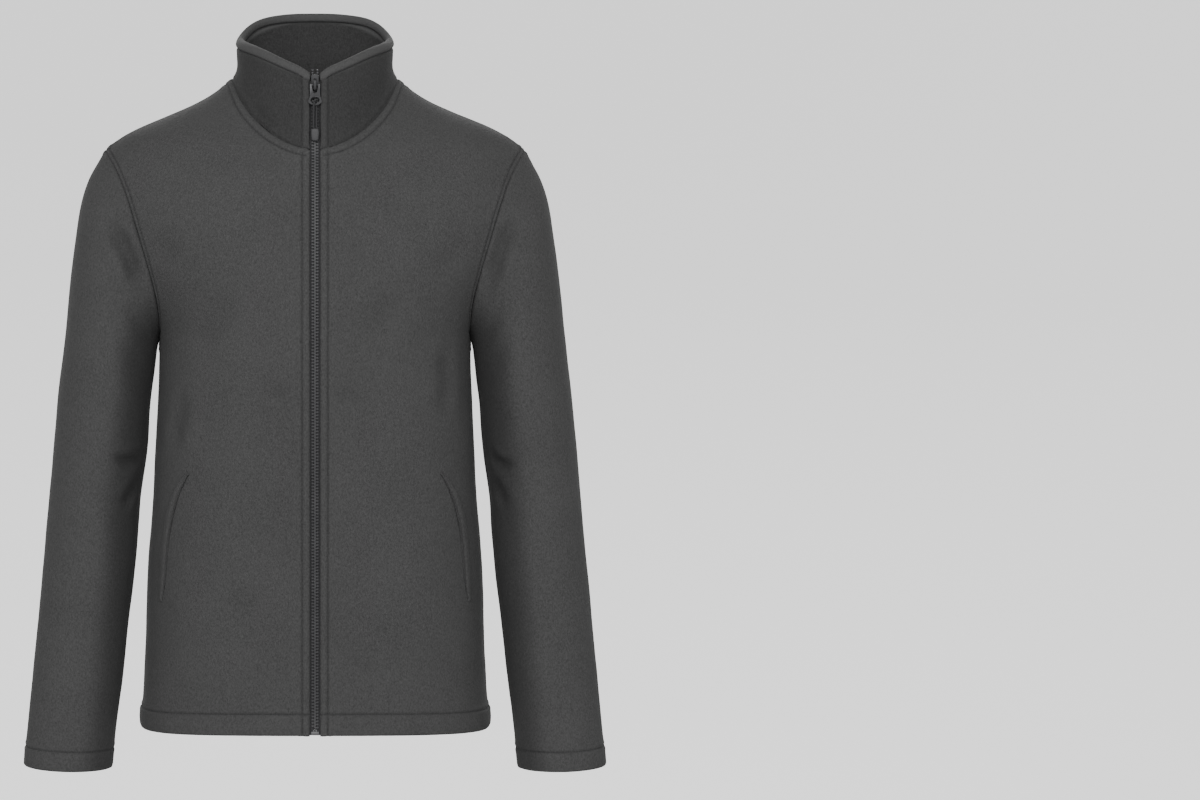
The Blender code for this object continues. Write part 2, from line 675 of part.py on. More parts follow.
def build_sleeve(name, side):
    """A tube from the armhole to the cuff, sewn just under the body's edge at the shoulder."""
    rings, loop = sleeve_rings(side)
    inner = [[None] * (2 * ARM_STEPS) for _ in rings]
    for i, ring in enumerate(rings):
        thickness = FLEECE * DOUBLED if SLEEVE_PLACES[i] > CUFF_PLACE else FLEECE
        for k, point in enumerate(ring):
            inner[i][k] = point - ring_normal(rings, i, k) * thickness
    for k, (point, normal, out) in enumerate(loop):
        start = rings[1][k] - rings[0][k]
        bend = math.atan2(start.dot(normal), start.dot(out))
        apart = out * math.cos(bend / 2) + normal * math.sin(bend / 2)
        sunk = SLEEVE_SINK * max(math.cos(bend), 0.0)
        inward = inner[0][k] - rings[0][k]
        across = inward.dot(out)
        if across < 0:
            inward -= out * across
        rings[0][k] = point + apart * SEAM_GAP - normal * sunk
        inner[0][k] = rings[0][k] + inward.normalized() * FLEECE
    return close_wall(name, rings, inner, "fleece", ring=True)


# ---------------------------------------------------------------- collar
def collar_base(turn):
    """The collar's foot, just clear of the neck seam."""
    return neckline(turn) + Vector((0.0, 0.0, SEAM_GAP))


def collar_outer(turn, share, top):
    """A point on the collar's outer face at a share of its height."""
    base = collar_base(turn)
    forward = math.cos(turn)
    reach = along(COLLAR_FACE, "front" if forward > 0 else "back", share)
    out = along(COLLAR_FACE, "half_width", share)
    return Vector((out * math.sin(turn), -reach * forward, mix(base.z, top, share)))


def collar_inward(turn):
    """The level direction from the collar's outer face to its inner one."""
    deep = NECK_FRONT if math.cos(turn) > 0 else NECK_BACK
    return Vector((-math.sin(turn) / NECK_HALF, math.cos(turn) / deep, 0.0)).normalized()


def collar_section(turn, top, wall):
    """The collar's cross-section at one station, up its outer face and down its inner one."""
    inward = collar_inward(turn)
    height = top - collar_base(turn).z
    swell_in = ROLL_SWELL if wall > FLEECE else 0.0
    roll = ROLL / height
    ups = [(share * (1 - roll), 0.0) for share in FACE_SHARES]
    ups += [
        (1 - roll * 1.28, 0.0), (1 - roll * 1.02, GROOVE), (1 - roll * 0.78, -ROLL_SWELL * 0.7),
        (1 - roll * 0.42, -ROLL_SWELL), (1 - roll * 0.12, -ROLL_SWELL * 0.2),
    ]
    section = [collar_outer(turn, share, top) + inward * inset for share, inset in ups]
    crown = collar_outer(turn, 1.0, top)
    section.append(crown + inward * wall / 2)
    for share, inset in reversed(ups):
        depth_in = wall
        if inset > 0:
            depth_in = wall - GROOVE if wall > FLEECE else wall
        elif inset < 0:
            depth_in = wall - inset * swell_in / ROLL_SWELL
        section.append(collar_outer(turn, share, top) + inward * depth_in)
    return section


def build_collar():
    """One folded piece that stands round the neck, open at the zip."""
    half = [(math.radians(s.turn), s.top, s.wall) for s in COLLAR]
    stations = half + [(2 * math.pi - turn, top, wall) for turn, top, wall in reversed(half[:-1])]
    sections = [collar_section(*station) for station in stations]
    for section in (sections[0], sections[-1]):
        edge = math.copysign(FRONT_EDGE, section[0].x)
        for point in section:
            point.x = edge
    return loft("collar", sections, "fleece")


# ---------------------------------------------------------------- zip
def front_face(out, height, side):
    """A point of the fronts' or the collar's outer face near the zip, and its normal."""
    if height <= NECK_DROP:
        turn = body_turn(height, out, -1)
        point = body_point(height, turn, side, -1, creased=False)
        return point, body_normal(point, -1)
    top = along(COLLAR, "top", math.degrees(math.asin(out / NECK_HALF)))
    share = (height - NECK_DROP) / (top - NECK_DROP)
    turn = math.asin(out / along(COLLAR_FACE, "half_width", share))
    point = Vector((side * out, -along(COLLAR_FACE, "front", share) * math.cos(turn), height))
    return point, Vector((side * math.sin(turn), -math.cos(turn), 0.0))


def zip_heights(low, high):
    """The heights at which the fronts and the collar have their own points, between two ends."""
    heights = [height_at(0.0) for height_at in lower_rows(-1)] + arm_heights()
    heights += [NECK_DROP - SEAM_GAP, NECK_DROP + SEAM_GAP]
    heights += [mix(NECK_DROP, COLLAR[1].top, share) for share in FACE_SHARES[1:]]
    return [low] + [height for height in heights if low + 0.001 < height < high - 0.001] + [high]


def bar_along_zip(name, side, reach, near, far, low, high, finish):
    """A strip beside the zip's middle, between two depths behind the fronts' outer face."""
    sections = []
    for height in zip_heights(low, high):
        corners = []
        for out, inset in ((reach[0], near), (reach[1], near), (reach[1], far), (reach[0], far)):
            point, normal = front_face(out, height, side)
            corners.append(point - normal * inset)
        sections.append(corners)
    return loft(name, sections, finish)


def build_zip():
    """Tapes, chain and foot; the chain's teeth show between the fronts' edges."""
    behind = FLEECE + TAPE_GAP
    middle = behind + TAPE / 2
    hem = HEM_FRONT + 0.0008
    near, far = middle - CHAIN_HALF, middle + CHAIN_HALF
    teeth_foot = hem + ZIP_FOOT + SEAM_GAP
    for name, side in (("right", -1), ("left", 1)):
        tape = (behind, behind + TAPE, hem, TAPE_TOP)
        bar_along_zip("zip_tape_" + name, side, TAPE_REACH, *tape, "tape")
        bar_along_zip("zip_teeth_" + name, side, CHAIN_REACH, near, far, teeth_foot, CHAIN_TOP, "teeth")
    face, _ = front_face(CHAIN_REACH[1] / 2, hem, 1)
    low = (-CHAIN_REACH[1], face.y + near, hem)
    high = (CHAIN_REACH[1], face.y + far, hem + ZIP_FOOT)
    add_box("zip_foot", low, high, "metal", bevel=0.0005)


def slider_face():
    """Where the slider's front plate lies, and the middle of the chain that it holds."""
    face, _ = front_face(FRONT_EDGE, SLIDER_MIDDLE, 1)
    middle = face.y + FLEECE + TAPE_GAP + TAPE / 2
    return middle - CHAIN_HALF - SEAM_GAP - SLIDER_PLATE, middle


def bail_sections(front):
    """The bail's bow, a bent strip seen from the side, at its two edges."""
    bow = front - BAIL_STAND
    root = front + SLIDER_PLATE / 2
    knee = front - BAIL_STAND * 0.6
    outside = (
        (root, BAIL_TOP), (knee, BAIL_TOP), (bow, BAIL_TOP - BAIL_BEND),
        (bow, BAIL_FOOT + BAIL_BEND), (knee, BAIL_FOOT), (root, BAIL_FOOT),
    )
    inner_bow, inner_knee = bow + BAIL_THICK, knee + BAIL_THICK / 2
    inner_top, inner_foot = BAIL_TOP - BAIL_THICK, BAIL_FOOT + BAIL_THICK
    inside = (
        (root, inner_foot), (inner_knee, inner_foot), (inner_bow, BAIL_FOOT + BAIL_BEND * 1.15),
        (inner_bow, BAIL_TOP - BAIL_BEND * 1.15), (inner_knee, inner_top), (root, inner_top),
    )
    return [[Vector((out, y, z)) for y, z in outside + inside] for out in (-BAIL_HALF, BAIL_HALF)]


def build_slider():
    """Two plates round the chain, a post between them over it, and the bail in front."""
    front, middle = slider_face()
    back = middle + (middle - front - SLIDER_PLATE)
    low, high = (-SLIDER_HALF, front, SLIDER_FOOT), (SLIDER_HALF, front + SLIDER_PLATE, SLIDER_TOP)
    slider = add_box("zip_slider", low, high, "metal", bevel=0.0006)
    low, high = (-SLIDER_HALF, back, SLIDER_FOOT), (SLIDER_HALF, back + SLIDER_PLATE, SLIDER_TOP)
    rear = add_box("rear_plate", low, high, "metal", bevel=0.0004)
    low = (-POST_HALF, front + SLIDER_PLATE / 2, CHAIN_TOP + 2 * SEAM_GAP)
    high = (POST_HALF, back + SLIDER_PLATE / 2, SLIDER_TOP - 0.001)
    post = add_box("post", low, high, "metal")
    bail = loft("bail", bail_sections(front), "metal")
    unite(slider, [rear, post, bail])
    return front


def tab_outline():
    """The tab's outline: round its foot, up one arm, down the slot and up the other arm."""
    right = [(row.half_width, -row.drop) for row in TAB_OUTLINE]
    left = [(-x, z) for x, z in reversed(right[:-1])]
    slot_left = [(-row.half_width, -row.drop) for row in TAB_SLOT]
    slot_right = [(-x, z) for x, z in reversed(slot_left)]
    return right + left + slot_left + slot_right


def add_outline(curve, points):
    spline = curve.splines.new("POLY")
    spline.points.add(len(points) - 1)
    for target, (x, z) in zip(spline.points, points):
        target.co = (x, z, 0.0, 1.0)
    spline.use_cyclic_u = True


def build_pin():
    """The pin across the tab's fork, lying along X."""
    mesh = bpy.data.meshes.new("pin")
    shape = bmesh.new()
    length = 2 * TAB_SLOT[0].half_width + 0.001
    bmesh.ops.create_cone(
        shape, cap_ends=True, segments=12, radius1=PIN_RADIUS, radius2=PIN_RADIUS, depth=length
    )
    bmesh.ops.rotate(shape, matrix=Matrix.Rotation(math.pi / 2, 3, "Y"), verts=shape.verts)
    shape.to_mesh(mesh)
    shape.free()
    return add_object("pin", mesh, "metal")


def build_tab(front):
    """A flat forked tab with an oval hole, hung by its pin from the bail."""
    curve = bpy.data.curves.new("tab_outline", "CURVE")
    curve.dimensions = "2D"
    curve.fill_mode = "BOTH"
    curve.extrude = TAB_THICK / 2
    add_outline(curve, tab_outline())
    oval = [math.tau * i / 20 for i in range(20)]
    hole = [(TAB_HOLE[0] * math.cos(t), -TAB_HOLE_DROP + TAB_HOLE[1] * math.sin(t)) for t in oval]
    add_outline(curve, hole)
    flat = bpy.data.objects.new("tab_flat", curve)
    collection().objects.link(flat)
    flat.rotation_euler = (math.radians(90), 0.0, 0.0)
    bpy.context.view_layer.update()
    tab = add_object("pull_tab", evaluated_mesh(flat), "metal")
    bpy.data.objects.remove(flat)
    unite(tab, [build_pin()])
    tab.location = (0.0, front - AXIS_STAND, AXIS_Z)
    return tab


def cord_path(axis_y):
    """The looped cord: up one strand, through the tab's hole, and down the other."""
    rim = AXIS_Z - (TAB_OUTLINE[-1].drop + TAB_HOLE_DROP + TAB_HOLE[1]) / 2
    knots = [
        (-CORD_SPREAD, 0.0, CORD_FOOT), (-CORD_SPREAD, 0.0, CORD_FOOT + 0.009),
        (-CORD_SPREAD, -0.0008, CORD_FOOT + 0.016), (-CORD_SPREAD * 0.95, -CORD_LOOP, rim - 0.0012),
        (-CORD_SPREAD * 0.6, -CORD_LOOP * 0.80, rim + 0.0016), (0.0, 0.0, rim + 0.0027),
    ]
    knots += [(-x, -y, z) for x, y, z in reversed(knots[:-1])]
    knots = [Vector((x, axis_y + y, z)) for x, y, z in knots]
    ends = [knots[0] * 2 - knots[1]] + knots + [knots[-1] * 2 - knots[-2]]
    path = []
    for a, b, c, d in zip(ends, ends[1:], ends[2:], ends[3:]):
        for step in range(3):
            t = step / 3
            bend = (2 * a - 5 * b + 4 * c - d) * t**2 + (3 * b - a - 3 * c + d) * t**3
            path.append(b + ((c - a) * t + bend) / 2)
    return path + [knots[-1]]


def end_sections(axis_y):
    """The moulded end's rings, rounded oblongs that swell under the cord and close at the foot."""
    sections = []
    for share, swell in END_PROFILE:
        ring = []
        for i in range(16):
            turn = math.tau * i / 16
            x = math.copysign(abs(math.cos(turn)) ** 0.6, math.cos(turn)) * END_HALF * swell
            y = math.copysign(abs(math.sin(turn)) ** 0.7, math.sin(turn)) * END_DEPTH * swell
            ring.append(Vector((x, axis_y + y, mix(CORD_FOOT - SEAM_GAP, END_FOOT, share))))
        sections.append(ring)
    return sections


def build_puller(front):
    """The cord through the tab's hole, and the moulded end that grips both its strands."""
    axis_y = front - AXIS_STAND
    curve = bpy.data.curves.new("puller_cord", "CURVE")
    curve.dimensions = "3D"
    curve.bevel_depth = CORD_RADIUS
    curve.bevel_resolution = 2
    curve.use_fill_caps = True
    path = cord_path(axis_y)
    spline = curve.splines.new("POLY")
    spline.points.add(len(path) - 1)
    for target, point in zip(spline.points, path):
        target.co = (*point, 1.0)
    line = bpy.data.objects.new("cord_line", curve)
    collection().objects.link(line)
    bpy.context.view_layer.update()
    cord = add_object("puller_cord", evaluated_mesh(line), "cord")
    bpy.data.objects.remove(line)
    return cord, loft("puller_end", end_sections(axis_y), "rubber")


# ---------------------------------------------------------------- pockets and neck patch
def build_pocket(name, side):
    """The pocket opening's turned edge, raised on the front from the front's own points."""
    outer, inner = [], []
    lift = SEAM_GAP + POCKET_CLEAR
    for i in range(POCKET_STEPS + 1):
        height = mix(POCKET_FOOT, POCKET_TOP, i / POCKET_STEPS)
        line = along(POCKETS, "outward", height)
        ends = 1 - abs(2 * i / POCKET_STEPS - 1) ** 4
        top, base = [], []
        for share in (0.0, 0.5, 1.0):
            out = line - POCKET_BAND * (1 - share) * mix(0.45, 1.0, ends)
            turn = body_turn(height, out, -1)
            point = body_point(height, turn, side, -1)
            normal = body_normal(point, -1)
            raise_by = POCKET_RAISE * mix(0.5, 1.0, ends) * (0.75 if share == 0 else 1.0)
            base.append(point + normal * lift)
            top.append(point + normal * (lift + raise_by))
        outer.append(top)
        inner.append(base)
    return close_wall(name, outer, inner, "fleece")


def build_neck_patch():
    """The half-moon of fleece sewn inside the back of the neck."""
    outer, inner = [], []
    for i in range(PATCH_ROWS + 1):
        height = mix(PATCH_DROP, -0.006, math.sin(i / PATCH_ROWS * math.pi / 2))
        reach = PATCH_REACH * math.sqrt(max(1 - (height / PATCH_DROP) ** 2, 0.0)) * 0.92 + 0.006
        line, under = [], []
        for j in range(13):
            out = mix(-reach, reach, j / 12)
            side = -1 if out < 0 else 1
            turn = body_turn(height, abs(out), 1)
            point = body_point(height, turn, side, 1)
            normal = body_normal(point, 1)
            line.append(point - normal * (FLEECE + SEAM_GAP * 2))
            under.append(point - normal * (FLEECE + SEAM_GAP * 2 + PATCH_THICK))
        outer.append(line)
        inner.append(under)
    return close_wall("neck_patch", outer, inner, "fleece")


def hang_from_tab(tab, cord, end):
    """The pull tab carries its cord and the cord's end about the tab's own pin."""
    bpy.context.view_layer.update()
    for piece in (cord, end):
        piece.parent = tab
        piece.matrix_parent_inverse = tab.matrix_world.inverted()


def main():
    for old in list(bpy.data.objects):
        bpy.data.objects.remove(old)
    build_front("front_right", -1)
    build_front("front_left", 1)
    build_back()
    build_sleeve("sleeve_right", -1)
    build_sleeve("sleeve_left", 1)
    build_collar()
    build_pocket("pocket_right", -1)
    build_pocket("pocket_left", 1)
    build_neck_patch()
    build_zip()
    front = build_slider()
    tab = build_tab(front)
    cord, end = build_puller(front)
    hang_from_tab(tab, cord, end)


main()
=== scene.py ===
"""Looks of a fleece zip jacket: its cloth, sewing, zip and puller, in a pale studio.

Metres.  The front faces -Y, the wearer's left arm is at +X, and the origin is the middle of the
neck opening.  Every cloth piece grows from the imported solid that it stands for.
"""

import logging
import math
from collections.abc import Callable, Iterable, Sequence
from dataclasses import dataclass, field
from enum import Enum

import bmesh
import bpy
from mathutils import Matrix, Vector, noise
from mathutils.bvhtree import BVHTree
from mathutils.kdtree import KDTree


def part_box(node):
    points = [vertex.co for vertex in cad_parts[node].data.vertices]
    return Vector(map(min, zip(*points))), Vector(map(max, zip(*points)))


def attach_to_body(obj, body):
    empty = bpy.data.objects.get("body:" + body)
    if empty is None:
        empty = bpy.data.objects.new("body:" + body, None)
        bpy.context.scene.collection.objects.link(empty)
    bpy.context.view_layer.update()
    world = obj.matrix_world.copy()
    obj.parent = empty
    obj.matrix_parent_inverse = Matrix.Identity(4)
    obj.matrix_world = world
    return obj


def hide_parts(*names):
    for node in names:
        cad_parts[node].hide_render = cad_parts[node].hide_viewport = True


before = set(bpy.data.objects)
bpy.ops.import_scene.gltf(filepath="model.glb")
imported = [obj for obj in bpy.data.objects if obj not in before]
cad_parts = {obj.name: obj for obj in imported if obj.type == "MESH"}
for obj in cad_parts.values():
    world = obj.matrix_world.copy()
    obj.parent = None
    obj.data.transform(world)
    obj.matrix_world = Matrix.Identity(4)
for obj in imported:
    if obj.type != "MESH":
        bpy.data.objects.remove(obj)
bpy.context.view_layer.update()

LOG = logging.getLogger("fleece_jacket")
JACKET = "jacket"  # the body that all the cloth rides on
PULLER = "puller"  # the body of the pull tab and its cord
MM = 0.001
SEWN_GAP = 0.15 * MM  # from the middle of a seam to each piece's edge
MERGE = 2e-6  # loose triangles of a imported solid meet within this

Shape = bmesh.types.BMesh
Socket = bpy.types.NodeSocket
Point = Vector
Chain = list[Vector]


# ------------------------------------------------------------------ small helpers
def linear(hex_code: str) -> tuple[float, float, float, float]:
    """Turn an sRGB hex colour to linear RGBA.

    Args:
        hex_code: Six hex digits after a hash.

    Returns:
        The linear colour with full alpha.
    """
    parts = [int(hex_code[i:i + 2], 16) / 255 for i in (1, 3, 5)]
    values = [p / 12.92 if p <= 0.04045 else ((p + 0.055) / 1.055) ** 2.4 for p in parts]
    return (*values, 1.0)


def add_node(
    tree: bpy.types.NodeTree,
    kind: str,
    settings: dict[str, object] | None = None,
    values: dict[str | int, object] | None = None,
    links: dict[str | int, bpy.types.NodeSocket] | None = None,
) -> bpy.types.Node:
    """Add a shader node with its settings, socket values and incoming links.

    Args:
        tree: The material's or world's node tree.
        kind: The node's Blender type name.
        settings: Attributes of the node itself.
        values: Values of its unlinked inputs.
        links: Output sockets that feed its inputs.

    Returns:
        The new node.
    """
    node = tree.nodes.new(kind)
    for name, value in (settings or {}).items():
        setattr(node, name, value)
    for name, value in (values or {}).items():
        node.inputs[name].default_value = value
    for name, source in (links or {}).items():
        tree.links.new(source, node.inputs[name])
    return node


def add_ramp(
    tree: bpy.types.NodeTree,
    source: bpy.types.NodeSocket,
    stops: Sequence[tuple[float, str]],
) -> bpy.types.NodeSocket:
    """Colour a value by a ramp of sRGB stops.

    Args:
        tree: The material's node tree.
        source: The value that the ramp reads.
        stops: Places from 0 to 1 and their hex colours.

    Returns:
        The ramp's colour output.
    """
    ramp = add_node(tree, "ShaderNodeValToRGB", links={"Fac": source})
    elements = ramp.color_ramp.elements
    while len(elements) < len(stops):
        elements.new(0.5)
    for element, (place, colour) in zip(elements, stops):
        element.position = place
        element.color = linear(colour)
    return ramp.outputs["Color"]


def read_solid(name: str) -> Shape:
    """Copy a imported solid's mesh with its loose triangles merged.

    Args:
        name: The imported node's name.

    Returns:
        A bmesh in the shared frame.
    """
    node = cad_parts[name]
    shape = bmesh.new()
    shape.from_mesh(node.data)
    shape.transform(node.matrix_world)
    bmesh.ops.remove_doubles(shape, verts=shape.verts, dist=MERGE)
    shape.normal_update()
    return shape


def make_piece(
    name: str,
    shape: Shape,
    material: bpy.types.Material,
    sharp_degrees: float = 50.0,
) -> bpy.types.Object:
    """Turn a bmesh into a finished object at the origin.

    Args:
        name: The piece's name.
        shape: Its bmesh, freed here.
        material: Its material.
        sharp_degrees: Edges that turn further than this stay crisp.

    Returns:
        The linked object.
    """
    mesh = bpy.data.meshes.new(name)
    shape.to_mesh(mesh)
    shape.free()
    mesh.materials.append(material)
    mesh.shade_smooth()
    mesh.set_sharp_from_angle(angle=math.radians(sharp_degrees))
    piece = bpy.data.objects.new(name, mesh)
    bpy.context.scene.collection.objects.link(piece)
    return piece


def attach(piece: bpy.types.Object, body: str, node: str = "") -> bpy.types.Object:
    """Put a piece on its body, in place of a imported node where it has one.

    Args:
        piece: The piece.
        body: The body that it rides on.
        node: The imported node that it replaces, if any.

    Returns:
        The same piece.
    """
    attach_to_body(piece, body)
    if node:
        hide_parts(node)
    if piece.type == "MESH":
        LOG.info("%s: %d faces", piece.name, len(piece.data.polygons))
    return piece


def sharp_edges(edges: Iterable[bmesh.types.BMEdge], degrees: float) -> list[bmesh.types.BMEdge]:
    """Pick the edges whose faces turn by more than some degrees."""
    return [edge for edge in edges if edge.calc_face_angle(0.0) > math.radians(degrees)]


def bevel(shape: Shape, edges: list[bmesh.types.BMEdge], width: float, segments: int) -> None:
    """Round edges of a hard part."""
    bmesh.ops.bevel(
        shape, geom=edges, offset=width, segments=segments, profile=0.5, affect="EDGES", material=-1
    )


def after_modifiers(shape: Shape, dress: Callable[[bpy.types.Object], None]) -> Shape:
    """Run modifiers over a bmesh.

    Args:
        shape: The bmesh, freed here.
        dress: Adds the modifiers to the object that holds it.

    Returns:
        The modified bmesh.
    """
    mesh = bpy.data.meshes.new("working")
    shape.to_mesh(mesh)
    shape.free()
    holder = bpy.data.objects.new("working", mesh)
    bpy.context.scene.collection.objects.link(holder)
    dress(holder)
    graph = bpy.context.evaluated_depsgraph_get()
    result = bmesh.new()
    result.from_object(holder, graph)
    bpy.data.objects.remove(holder)
    bpy.data.meshes.remove(mesh)
    result.normal_update()
    return result


def subdivide(shape: Shape, levels: int) -> Shape:
    """Round a coarse mesh with Catmull-Clark subdivision, keeping its corners."""

    def dress(holder: bpy.types.Object) -> None:
        """Add the subdivision to the working object."""
        rounding = holder.modifiers.new("rounding", "SUBSURF")
        rounding.levels = rounding.render_levels = levels
        rounding.boundary_smooth = "PRESERVE_CORNERS"

    return after_modifiers(shape, dress)


def crease_layer(shape: Shape) -> bmesh.types.BMLayerItem:
    """Find or add the layer that holds edge creases."""
    layers = shape.edges.layers.float
    return layers.get("crease_edge") or layers.new("crease_edge")


def resample(line: Sequence[Vector], spacing: float) -> Chain:
    """Walk a polyline in even steps.

    Args:
        line: Its points in order.
        spacing: The wanted distance between samples.

    Returns:
        Samples from the first point to the last.
    """
    lengths = [(b - a).length for a, b in zip(line, line[1:])]
    count = max(int(round(sum(lengths) / spacing)), 1)
    step = sum(lengths) / count
    samples, done, k = [line[0].copy()], 0.0, 0
    for i in range(1, count):
        goal = i * step
        while k < len(lengths) - 1 and done + lengths[k] < goal:
            done += lengths[k]
            k += 1
        share = (goal - done) / lengths[k] if lengths[k] else 0.0
        samples.append(line[k].lerp(line[k + 1], min(share, 1.0)))
    return samples + [line[-1].copy()]


def smoothed(line: Chain, rounds: int) -> Chain:
    """Soften a line's small kinks, keeping its ends."""
    for _ in range(rounds):
        inner = [(a + 2 * b + c) / 4 for a, b, c in zip(line, line[1:], line[2:])]
        line = [line[0]] + inner + [line[-1]]
    return line


def tree_of(points: Sequence[Vector]) -> KDTree:
    """Build a search tree over points."""
    tree = KDTree(len(points))
    for i, point in enumerate(points):
        tree.insert(point, i)
    tree.balance()
    return tree


def bell(distance: float, width: float) -> float:
    """A soft hump, 1 at no distance and nearly 0 at twice the width."""
    return math.exp(-((distance / width) ** 2)) if distance < 3 * width else 0.0


def ease(share: float) -> float:
    """A smooth step from 0 to 1."""
    share = min(max(share, 0.0), 1.0)
    return share * share * (3 - 2 * share)


# ------------------------------------------------------------------ finishes
class Maker:
    """A material in the making: its shader, and the nodes that feed it."""

    def __init__(self, name: str, values: dict[str, object]) -> None:
        """Start the material with the plain values of its shader."""
        self.material = bpy.data.materials.new(name)
        self.material.use_nodes = True
        self.tree = self.material.node_tree
        self.shader = self.tree.nodes["Principled BSDF"]
        for key, value in values.items():
            self.shader.inputs[key].default_value = value

    def add(
        self, output: str | int, kind: str, settings: dict[str, object] | None = None,
        values: dict[str | int, object] | None = None,
        links: dict[str | int, Socket] | None = None,
    ) -> Socket:
        """Add a node, as add_node does, and give back one of its outputs."""
        return add_node(self.tree, kind, settings, values, links).outputs[output]

    def place(self) -> Socket:
        """The place on the object, in metres."""
        return self.add("Object", "ShaderNodeTexCoord")

    def noise(
        self, place: Socket, scale: float, detail: float = 2.0, roughness: float = 0.5
    ) -> Socket:
        """Cloudy noise over the object."""
        values = {"Scale": scale, "Detail": detail, "Roughness": roughness}
        return self.add("Fac", "ShaderNodeTexNoise", None, values, {"Vector": place})

    def stripes(
        self, place: Socket, direction: str, scale: float, distortion: float = 0.0
    ) -> Socket:
        """Soft stripes across one direction."""
        return self.add(
            "Fac", "ShaderNodeTexWave", {"bands_direction": direction},
            {"Scale": scale, "Distortion": distortion}, {"Vector": place},
        )

    def maths(
        self, operation: str, values: dict[int, float] | None, links: dict[int, Socket]
    ) -> Socket:
        """Work a value out from others."""
        return self.add(0, "ShaderNodeMath", {"operation": operation}, values, links)

    def edge_wear(self, low: float, high: float) -> Socket:
        """How far an edge stands out to be rubbed, from 0 to 1."""
        pointed = self.add("Pointiness", "ShaderNodeNewGeometry")
        return self.add(
            "Result", "ShaderNodeMapRange", None, {"From Min": low, "From Max": high},
            {"Value": pointed},
        )

    def feed(self, name: str, source: Socket) -> None:
        """Let a node's output drive an input of the shader."""
        self.tree.links.new(source, self.shader.inputs[name])

    def colour(self, source: Socket, *stops: tuple[float, str]) -> None:
        """Colour the material by a ramp over a value."""
        self.feed("Base Color", add_ramp(self.tree, source, stops))

    def rough(self, source: Socket, low: float, high: float) -> None:
        """Let the roughness run from low to high with a value."""
        self.feed("Roughness", self.add(
            "Result", "ShaderNodeMapRange", None, {"To Min": low, "To Max": high},
            {"Value": source},
        ))

    def bump(self, height: Socket, strength: float, distance: float) -> None:
        """Raise the surface by a value."""
        self.feed("Normal", self.add(
            "Normal", "ShaderNodeBump", None, {"Strength": strength, "Distance": distance},
            {"Height": height},
        ))


@dataclass(frozen=True)
class NappedFleece:
    """Polyester fleece: a knit brushed until its face is a short, matt, mottled pile."""

    name: str = "napped_polyester_fleece"
    low: str = "#1e1e1e"
    high: str = "#2f2f2f"
    # shares of the painted shade and the painted highlight that are mixed into the colour
    painted_shade_share: float = 0.5
    painted_highlight_share: float = 0.20
    tuft_mm: float = 1.5  # a guess, a little coarse so that it shows at all
    fibre_mm: float = 0.7
    drift_mm: float = 60.0

    def make(self) -> bpy.types.Material:
        """Build the pile: mottled tufts, fine fibres, a sheen, a painted highlight, and painted
        shade baked at seams.
        """
        maker = Maker(self.name, {
            "Roughness": 0.95, "Specular IOR Level": 0.05, "Sheen Weight": 0.03,
            "Sheen Roughness": 0.55, "Sheen Tint": linear("#bababa"),
        })
        place = maker.place()
        combed = maker.add(
            "Vector", "ShaderNodeMapping", None, {"Scale": (1.0, 1.0, 0.62)}, {"Vector": place}
        )
        tufts = maker.noise(combed, 1.0 / (self.tuft_mm * MM), 2.5, 0.6)
        fibres = maker.noise(combed, 1.0 / (self.fibre_mm * MM), 2.0, 0.65)
        drift = maker.noise(place, 1.0 / (self.drift_mm * MM))
        pile = maker.maths("MULTIPLY_ADD", {1: 0.45, 2: 0.0}, {0: fibres})
        pile = maker.maths("MULTIPLY_ADD", {1: 0.55}, {0: tufts, 2: pile})
        toned = maker.maths("MULTIPLY_ADD", {1: 0.09}, {0: drift, 2: pile})
        colour = add_ramp(maker.tree, toned, ((0.37, self.low), (0.72, self.high)))
        # painted highlight (layer lift, towards #484848), then painted shade (layer seam, towards
        # #080808) at seams, in creases and on the sleeves beside the body
        for layer, most, tint in (
            ("lift", self.painted_highlight_share, "#484848"), ("seam", self.painted_shade_share, "#080808"),
        ):
            here = maker.add("Fac", "ShaderNodeAttribute", {"attribute_name": layer})
            share = maker.maths("MULTIPLY", {1: most}, {0: here})
            colour = maker.add(
                "Result", "ShaderNodeMix", {"data_type": "RGBA", "blend_type": "MIX"},
                {"B": linear(tint)}, {"Factor": share, "A": colour},
            )
        maker.feed("Base Color", colour)
        maker.bump(pile, 0.55, 0.7 * MM)
        return maker.material


@dataclass(frozen=True)
class SpunThread:
    """Spun polyester sewing thread: two plies with a dull, slightly hairy surface."""

    name: str = "spun_polyester_thread"
    colour: str = "#1f1f20"
    ply_mm: float = 0.35

    def make(self) -> bpy.types.Material:
        """Build the thread, striped by its twist."""
        maker = Maker(self.name, {"Roughness": 0.8, "Specular IOR Level": 0.1})
        twist = maker.stripes(maker.place(), "DIAGONAL", 0.3 / (self.ply_mm * MM), 1.2)
        maker.colour(twist, (0.0, "#121213"), (1.0, self.colour))
        maker.bump(twist, 0.4, 0.1 * MM)
        return maker.material


@dataclass(frozen=True)
class WovenTape:
    """Woven polyester zip tape: a flat weave with a faint gloss on its warps."""

    name: str = "woven_polyester_tape"
    thread_mm: float = 0.6  # a guess, coarse so that it shows

    def make(self) -> bpy.types.Material:
        """Build the tape's crossing warps and wefts."""
        maker = Maker(self.name, {"Roughness": 0.72, "Specular IOR Level": 0.15})
        place, scale = maker.place(), 0.314 / (self.thread_mm * MM)
        warps, wefts = (maker.stripes(place, direction, scale) for direction in ("X", "Z"))
        weave = maker.maths("MAXIMUM", None, {0: warps, 1: wefts})
        maker.colour(weave, (0.1, "#0a0a0b"), (0.9, "#1a1a1b"))
        maker.bump(weave, 0.5, 0.15 * MM)
        return maker.material


